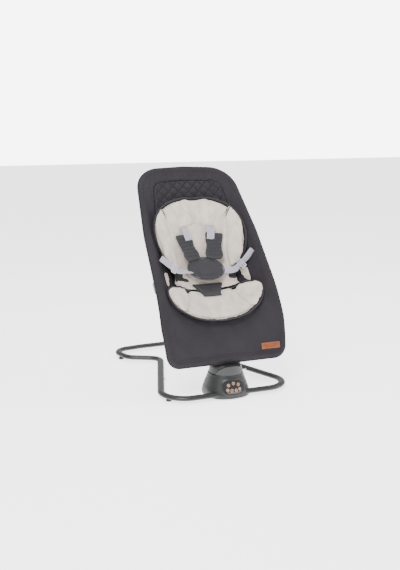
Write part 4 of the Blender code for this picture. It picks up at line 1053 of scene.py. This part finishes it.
def webbing(name, path, stands_for, half=WEB / 2, tilt=(0.0,), thick=0.0016, cup=0.0005):
    """A belt along (x, s, off) places, its width across the path and turned by tilt."""
    line = soft_curve([Vector(p) for p in path], 0.0022)
    reach = np.linspace(0, 1, len(line))
    turns = np.interp(reach, np.linspace(0, 1, len(tilt)), tilt)
    shape = bmesh.new()
    across = 8
    bmesh.ops.create_grid(shape, x_segments=len(line) - 1, y_segments=across, size=1.0)
    layer = shape.verts.layers.float_vector.new("lay")
    for vert in shape.verts:
        i = round((vert.co.x + 1) / 2 * (len(line) - 1))
        share = vert.co.y
        ahead = (line[min(i + 1, len(line) - 1)] - line[max(i - 1, 0)]).normalized()
        wide = Vector((-ahead.y, ahead.x, 0)).normalized()
        wide.rotate(Matrix.Rotation(turns[i], 3, ahead))
        up = ahead.cross(wide)
        at = line[i] + wide * half * share - up * cup * share**2
        vert.co = seat_point(*at)
        vert[layer] = (i * 0.0022, share * half, 0)
    mesh = bpy.data.meshes.new(name)
    shape.normal_update()
    shape.to_mesh(mesh)
    shape.free()
    belt = piece(name, mesh, WEBBING, "seat", stands_for)
    wall = belt.modifiers.new("thickness", "SOLIDIFY")
    wall.thickness = thick
    wall.offset = 0
    soft = belt.modifiers.new("edges", "BEVEL")
    soft.width = 0.0004
    soft.segments = 2
    return belt


def adjuster(name, centre, along, node):
    """A tri-glide: a rounded frame with a bar across the middle."""
    centre, along = Vector(centre), Vector(along).normalized()
    wide = Vector((-along.y, along.x, 0)).normalized()
    corners = [(0.0070, 0.0100), (0.0070, 0.0150), (0.0040, 0.0163), (-0.0040, 0.0163), (-0.0070, 0.0150),
        (-0.0070, 0.0100)]
    corners += [(-u, -v) for u, v in corners]
    ring = [seat_point(*(centre + along * u + wide * v)) for u, v in corners]
    shape = bmesh.new()
    shape.from_mesh(tube_mesh("frame", soft_curve(ring, 0.0012, closed=True), 0.0021, 12, closed=True))
    lift = along.cross(wide) * 0.0014
    for u in (0.0,):
        bar = [seat_point(*(centre + lift + along * u + wide * v)) for v in (-0.0155, -0.005, 0.005, 0.0155)]
        shape.from_mesh(tube_mesh("bar", bar, 0.0019, 12))
    piece(name, finished(name, shape, 60), NYLON, "seat", [node])


def pad_outline(top, top_half, low, low_half):
    """A tapering pad between two (x, s) places, with rounded top corners."""
    top, low = Vector(top), Vector(low)
    along = (low - top).normalized()
    wide = Vector((-along.y, along.x))
    return soft_curve(
        [
            top + wide * top_half * 0.75, top + wide * top_half + along * 0.007,
            (top + low) / 2 + wide * (top_half + low_half) / 2,
            low + wide * low_half, low - wide * low_half, (top + low) / 2 - wide * (top_half + low_half) / 2,
            top - wide * top_half + along * 0.007, top - wide * top_half * 0.75,
        ],
        0.003, closed=True,
    )


def lift_of_pad(x, s):
    """The shoulder pads rise off the back towards the buckle."""
    return bowl_height(x, s) + 0.0045 + np.interp(s, [0.350, 0.3665, 0.388, 0.405, 0.425, 0.446],
        [0.021, 0.018, 0.011, 0.006, 0.002, 0.0])


def harness():
    for side, word in ((-1, "left"), (1, "right")):
        top, low = (side * 0.0565, 0.4540), (side * 0.0365, 0.3600)
        outline = pad_outline(top, 0.0315, low, 0.0275)
        creases = []
        for i in range(6):
            t = 0.22 + 0.135 * i
            at = Vector(top).lerp(Vector(low), t)
            bend = 0.0016 * (-1) ** i
            creases.append(([(at.x - 0.022, at.y + 0.004 * side - bend), (at.x, at.y + bend),
                (at.x + 0.022, at.y - 0.004 * side - bend)], 0.0030, 0.0036))
        pad_set(
            f"harness_pad_{word}", outline, 0.0045, 0.0032, lift_of_pad, PADDING, "pad_grey", 0.6, creases,
            lumps(0.014, 0.0009, 20 + side), [f"shoulder_pad_{word}"], voxel=0.0035,
        )
        path = [
            (side * x, s, float(bowl_height(np.array([side * x]), np.array([s]))[0]) + up + 0.002)
            for x, s, up in (
                (0.0480, 0.4840, -0.0020), (0.0477, 0.4770, 0.0020), (0.0470, 0.4700, 0.0090),
                (0.0458, 0.4630, 0.0122),
                (0.0434, 0.4530, 0.0125), (0.0412, 0.4430, 0.0130), (0.0394, 0.4350, 0.0132),
                (0.0384, 0.4300, 0.0108),
            )
        ]
        webbing(f"shoulder_belt_{word}", path, [f"shoulder_strap_{word}"])
    left = [
        (-0.050, 0.322, -0.0400), (-0.066, 0.3215, -0.0380), (-0.084, 0.3205, -0.0335),
        (-0.1012, 0.3195, -0.0280),
        (-0.1165, 0.3268, -0.0210), (-0.1318, 0.3370, -0.0145), (-0.1460, 0.3490, -0.0100),
        (-0.1580, 0.3590, -0.0050),
    ]
    webbing("waist_web_left", left, ["waist_belt_left"], half=0.0112, tilt=(0.5, 0.25, 0.0, 0.0))
    right = [
        (0.050, 0.321, -0.0410), (0.066, 0.3175, -0.0385), (0.084, 0.3130, -0.0350),
        (0.1012, 0.3142, -0.0285),
        (0.1165, 0.3250, -0.0210), (0.1318, 0.3358, -0.0138), (0.1460, 0.3480, -0.0105),
        (0.1580, 0.3600, -0.0050),
        (0.1650, 0.3670, 0.0010),
    ]
    webbing("waist_web_right", right, ["waist_belt_right"], half=0.0105, tilt=(0.1, 0.3, 0.6, 0.9, 0.5, 0.7))
    adjuster("triglide_left", (-0.1150, 0.3262, -0.0215), (-0.017, 0.010, 0.007), "belt_slider_left")
    adjuster("triglide_right", (0.1200, 0.3276, -0.0192), (0.017, 0.012, 0.008), "belt_slider_right")

    roll = Matrix.Rotation(radians(-5), 2)
    oval = [Vector((0, 0.3270)) + roll @ Vector((0.0625 * cos(a), 0.0425 * sin(a))) for a in np.arange(0,
        2 * pi, pi / 10)]
    cover = soft_curve(oval, 0.003, closed=True)
    cover_floor = lambda x, s: -0.0430 + 0 * x
    cover_creases = [
        ([(-0.044, 0.309), (-0.020, 0.299), (0.010, 0.298)], 0.0010, 0.003),
        ([(0.020, 0.343), (0.044, 0.337)], 0.0008, 0.003),
        ([(-0.040, 0.342), (-0.010, 0.351)], 0.0007, 0.003),
    ]
    pad_set("buckle_oval", cover, 0.006, 0.0048, cover_floor, PADDING, "pad_grey", 0.7, cover_creases,
        lumps(0.020, 0.0007, 30), ["buckle_cover"], voxel=0.0035)
    rim_path = [seat_point(p.x * 1.01, 0.327 + (p.y - 0.327) * 1.01, -0.0385) for p in cover]
    piece("buckle_oval_piping", tube_mesh("buckle_oval_piping", rim_path, 0.0021, 12, closed=True), BINDING,
        "seat", ["buckle_cover"])
    crotch = soft_curve(
        [
            (0.030, 0.2230), (0.0335, 0.2320), (0.0405, 0.2480), (0.0475, 0.2640), (0.0535, 0.2790),
            (0.0500, 0.2880),
            (0.0, 0.2900), (-0.0500, 0.2880), (-0.0535, 0.2790), (-0.0475, 0.2640), (-0.0405, 0.2480),
            (-0.0335, 0.2320), (-0.030, 0.2230), (0.0, 0.2212),
        ],
        0.003, closed=True,
    )
    crotch_creases = [([(-0.034, 0.262), (0.034, 0.258)], 0.0012, 0.005),
        ([(-0.030, 0.243), (0.022, 0.247)], 0.0010, 0.004)]
    pad_set("crotch_guard", crotch, 0.0045, 0.0030, over(bowl_height, 0.0030), PADDING, "pad_grey", 0.5,
        crotch_creases, lumps(0.020, 0.0008, 33), ["crotch_pad"], voxel=0.0035)


def leather_label():
    corners = [(0.118, 0.020, 0), (0.182, 0.020, 0), (0.182, 0.040, 0), (0.118, 0.040, 0)]
    outline = even_line([Vector(p[:2]) for p in corners], 0.0016, closed=True)
    shape = bmesh.new()
    bmesh.ops.create_grid(shape, x_segments=40, y_segments=14, size=1.0)
    layer = shape.verts.layers.float_vector.new("lay")
    x = np.array([0.150 + vert.co.x * 0.032 for vert in shape.verts])
    s = np.array([0.030 + vert.co.y * 0.010 for vert in shape.verts])
    deep = line_distance(x, s, outline, closed=True)
    off = sling_height(x, s) + sling_shape(x, s,
        line_distance(x, s, seat_outline(0.01), closed=True)) * 0.5 + 0.0022
    off -= 0.0006 * np.exp(-((deep / 0.0016) ** 2))
    for vert, place, value in zip(shape.verts, on_seat(x, s, off), np.stack([x, s, deep], axis=1)):
        vert.co = place
        vert[layer] = value
    mesh = bpy.data.meshes.new("leather_label")
    shape.to_mesh(mesh)
    shape.free()
    label = piece("leather_label", mesh, LEATHER, "seat", ["label_patch"])
    wall = label.modifiers.new("hide", "SOLIDIFY")
    wall.thickness = 0.0016
    wall.offset = -1


# ---------------------------------------------------------------- metal frame


def floor_tubes():
    corners = [
        (0.0, FRONT_BAR_Y, 0.0), (SEAM[0] + SIDE_SLOPE * (SEAM[1] - FRONT_BAR_Y), FRONT_BAR_Y, 0.075),
        (0.0796, 0.1365, 0.042), (0.1845, 0.1935, 0.050), (0.2110, 0.2966, 0.052), (0.0950, 0.3140, 0.300),
        (0.0, 0.3170, 0.0),
    ]
    half = even_line(filleted(corners, 0.003), 0.004)
    cut = next(i for i, p in enumerate(half) if p.y > SEAM[1])
    right_front = half[:cut] + [Vector(SEAM)]
    gap = 0.0009
    start = Vector((SEAM[0] - SIDE_SLOPE * gap, SEAM[1] + gap))
    right_rear = [start] + [p for p in half[cut:] if p.y > SEAM[1] + 0.003]
    other = lambda line: [Vector((-p.x, p.y)) for p in line]
    front = list(reversed(other(right_front[1:]))) + right_front
    rear = right_rear + list(reversed(other(right_rear[:-1])))
    for name, line in (("front_base_tube", front), ("rear_base_tube", rear)):
        path = [Vector((p.x, p.y, TUBE_Z)) for p in line]
        mesh = tube_mesh(name, path, TUBE_WIDE / 2, 28, flat=TUBE_HIGH / TUBE_WIDE, flat_z=TUBE_Z)
        piece(name + "_bent", mesh, ENAMEL, "base", [name])


def support_arms():
    route = [
        (0.013, 0.050, -0.030), (0.040, 0.066, -0.034), (0.080, 0.118, -0.056), (0.128, 0.182, -0.072),
        (0.168, 0.234, -0.060), (0.1845, 0.266, -0.029),
    ]
    for side, word in ((-1, "left"), (1, "right")):
        path = soft_curve([seat_point(side * x, s, off) for x, s, off in route], 0.004)
        piece(f"support_tube_{word}", tube_mesh("arm", path, 0.007, 20), ENAMEL, "seat",
            [f"support_arm_{word}"])


# ---------------------------------------------------------------- motor pod


POD_WALL = [
    (0.0030, 0.0715), (0.0120, 0.0718), (0.0250, 0.0700), (0.0450, 0.0640), (0.0600, 0.0592),
    (0.0725, 0.0555),
]


def turned(profile, steps):
    """A profile of (radius, height) turned all the way round, in a fresh bmesh."""
    shape = bmesh.new()
    verts = [shape.verts.new((r, 0, z)) for r, z in profile]
    edges = [shape.edges.new(pair) for pair in zip(verts, verts[1:])]
    bmesh.ops.spin(
        shape, geom=verts + edges, cent=(0, 0, 0), axis=(0, 0, 1), dvec=(0, 0, 0), angle=2 * pi, steps=steps,
        use_merge=True, use_duplicate=False,
    )
    bmesh.ops.remove_doubles(shape, verts=shape.verts, dist=1e-6)
    bmesh.ops.recalc_face_normals(shape, faces=shape.faces)
    return shape


def pod_shell():
    heights = np.concatenate([np.arange(0.0030, 0.0725, 0.0012), [0.0725]])
    wall = [(float(table_at(POD_WALL, z, 0.004)), float(z)) for z in heights]
    top, foot = wall[-1][0], wall[0][0]
    profile = [(foot - 0.005, 0.0030), (foot - 0.0012, 0.0030)] + [(r, z) for r, z in wall if z > 0.0034]
    profile += [(top - 0.0005, 0.0729), (top - 0.0016, 0.0731), (top - 0.0040, 0.0731),
        (top - 0.0045, 0.0700)]
    shape = turned(profile, 420)
    for vert in shape.verts:
        x, y, z = vert.co
        reach = sqrt(x * x + y * y)
        power = 2.6 - 0.6 * min(1.0, max(0.0, (z - 0.012) / 0.0605))
        swell = (abs(x / reach) ** power + abs(y / reach) ** power) ** (-1 / power)
        x, y = x * swell, y * swell
        out = 0.0
        if y < 0:
            value = (abs(x / 0.0330) ** 3.2 + abs((z - PANEL_Z) / 0.0205) ** 3.2) ** (1 / 3.2)
            out = 0.0011 * np.exp(-(((value - 1.10) / 0.055) ** 2)) - 0.0022 * float(1 - soft_step(value,
                0.985, 1.030))
        vert.co = (x * (1 + out / reach), y * (1 + out / reach) + POD_Y, z)
    piece("pod_shell", finished("pod_shell", shape, 40), POD_PLASTIC, "base", ["pod_housing"])


def swing_head():
    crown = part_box("swing_head_shell")[1].z
    profile = [
        (0.0490, 0.0738), (0.0520, 0.0738), (0.0530, 0.0746), (0.0528, 0.0780), (0.0522, 0.0820),
        (0.0516, 0.0860),
        (0.0510, 0.0900), (0.0503, 0.0935), (0.0492, 0.0965), (0.0474, crown - 0.0055),
        (0.0440, crown - 0.0028),
        (0.0380, crown - 0.0010), (0.0280, crown - 0.0002), (0.0150, crown), (0.0, crown),
    ]
    fine = [profile[0]]
    for a, b in zip(profile, profile[1:]):
        count = max(1, round(((a[0] - b[0]) ** 2 + (a[1] - b[1]) ** 2) ** 0.5 / 0.0012))
        fine += [(a[0] + (b[0] - a[0]) * k / count, a[1] + (b[1] - a[1]) * k / count) for k in range(1,
            count + 1)]
    shape = turned(fine, 300)
    layer = shape.verts.layers.float_vector.new("lay")
    for vert in shape.verts:
        x, y, z = vert.co
        reach = max(sqrt(x * x + y * y), 1e-6)
        inside = 0.0
        if y < 0:
            value = sqrt((x / 0.0455) ** 2 + ((z - 0.0738) / (crown - 0.0738)) ** 2)
            inside = float(1 - soft_step(value, 0.965, 1.0))
            goal = 0.0555 - (z - 0.0738) * 0.05
            if reach > 0.030:
                x, y = x * (1 + inside * (goal / reach - 1)), y * (1 + inside * (goal / reach - 1))
        vert[layer] = (inside, 0, 0)
        vert.co = (x, y + POD_Y, z)
    piece("swing_head_cap", finished("swing_head_cap", shape, 40), HEAD_PLASTIC_LIT_SHADED, "swing_head",
        ["swing_head_shell"])


def head_paint():
    """The head's plastic: the arch painted lighter, as if lit from the front, over the drum painted darker as
    the seat's shade.
    """
    paint = Paint("head_plastic_painted_light", (0.050, 0.054, 0.056), 0.42)
    inside, _, _ = paint.lay()
    spark = paint.noise(1400, 2.0)
    cloud = paint.noise(14, 4.0, 0.6)
    # Painted light: the arch gets the lighter tone, as if lit from the front.
    tone = paint.mix((cloud * 0.7 + spark * 0.3).step(0.3, 0.7), (0.0165, 0.018, 0.0185),
        (0.0225, 0.0245, 0.025))
    # Painted shade: the drum is painted darker, as if under the seat's shadow.
    drum_painted_shade = paint.mix(cloud.step(0.3, 0.7), (0.0080, 0.0085, 0.0085), (0.0115, 0.0120, 0.0125))
    paint.feed("Base Color", paint.mix(inside, drum_painted_shade, tone))
    paint.feed("Roughness", cloud * 0.14 + spark * 0.10 + 0.30)
    paint.bump(spark, 0.22, 0.0003)
    return paint.material


HEAD_PLASTIC_LIT_SHADED = head_paint()


# ---------------------------------------------------------------- hard parts kept from the CAD


def finish_hard_parts():
    for name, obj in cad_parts.items():
        if obj.hide_render:
            continue
        slot_name = obj.data.materials[0].name.split(".")[0] if obj.data.materials else "steel"
        paint = NODE_FINISH.get(name) or SLOT_FINISH.get(slot_name, STEEL)
        if name == "control_lens":
            paint = PANEL
        for holder in obj.material_slots:
            holder.link = "OBJECT"
            holder.material = paint


# ---------------------------------------------------------------- studio


SKY_LIGHT = 0.9  # the sky's strength as light
SKY_SEEN = 7.0  # and as the camera sees it


def studio():
    data = bpy.data.cameras.new("camera")
    data.lens = 53.37
    data.sensor_width = 36
    data.clip_start = 0.05
    camera = bpy.data.objects.new("camera", data)
    camera.location = (-1.0435, -2.6122, 0.8747)
    camera.rotation_euler = (radians(78.51), 0, radians(-22.1))
    bpy.context.scene.collection.objects.link(camera)
    bpy.context.scene.camera = camera

    shape = bmesh.new()
    bmesh.ops.create_grid(shape, x_segments=1, y_segments=1, size=12.0)
    mesh = bpy.data.meshes.new("studio_floor")
    shape.to_mesh(mesh)
    shape.free()
    floor = bpy.data.objects.new("studio_floor", mesh)
    floor.data.materials.append(floor_paint("floor"))
    bpy.context.scene.collection.objects.link(floor)

    world = bpy.data.worlds.new("studio")
    world.use_nodes = True
    world.node_tree.nodes["Background"].inputs[0].default_value = (1.0, 1.0, 1.0, 1)
    world.node_tree.nodes["Background"].inputs[1].default_value = SKY_LIGHT
    sky = world.node_tree.nodes["Background"]
    seen = world.node_tree.nodes.new("ShaderNodeLightPath")
    glow = world.node_tree.nodes.new("ShaderNodeMapRange")
    glow.inputs["To Min"].default_value = SKY_LIGHT
    glow.inputs["To Max"].default_value = SKY_SEEN
    world.node_tree.links.new(seen.outputs["Is Camera Ray"], glow.inputs["Value"])
    world.node_tree.links.new(glow.outputs["Result"], sky.inputs["Strength"])
    bpy.context.scene.world = world
    for name, place, aim, wide, power in (
        ("key", (-1.3, -1.8, 2.4), (0, -0.05, 0.3), 1.3, 100),
        ("side", (2.4, -1.0, 1.6), (0, 0, 0.3), 1.2, 26),
        ("top", (0.2, 0.6, 2.8), (0, 0, 0.2), 2.0, 42),
    ):
        lamp = bpy.data.lights.new(name, "AREA")
        lamp.shape = "DISK"
        lamp.size = wide
        lamp.energy = power
        obj = bpy.data.objects.new(name, lamp)
        obj.location = place
        obj.rotation_euler = (Vector(aim) - Vector(place)).to_track_quat("-Z", "Y").to_euler()
        bpy.context.scene.collection.objects.link(obj)


studio()
sling_sheet()
cream_insert()
harness()
leather_label()
floor_tubes()
support_arms()
pod_shell()
swing_head()
finish_hard_parts()
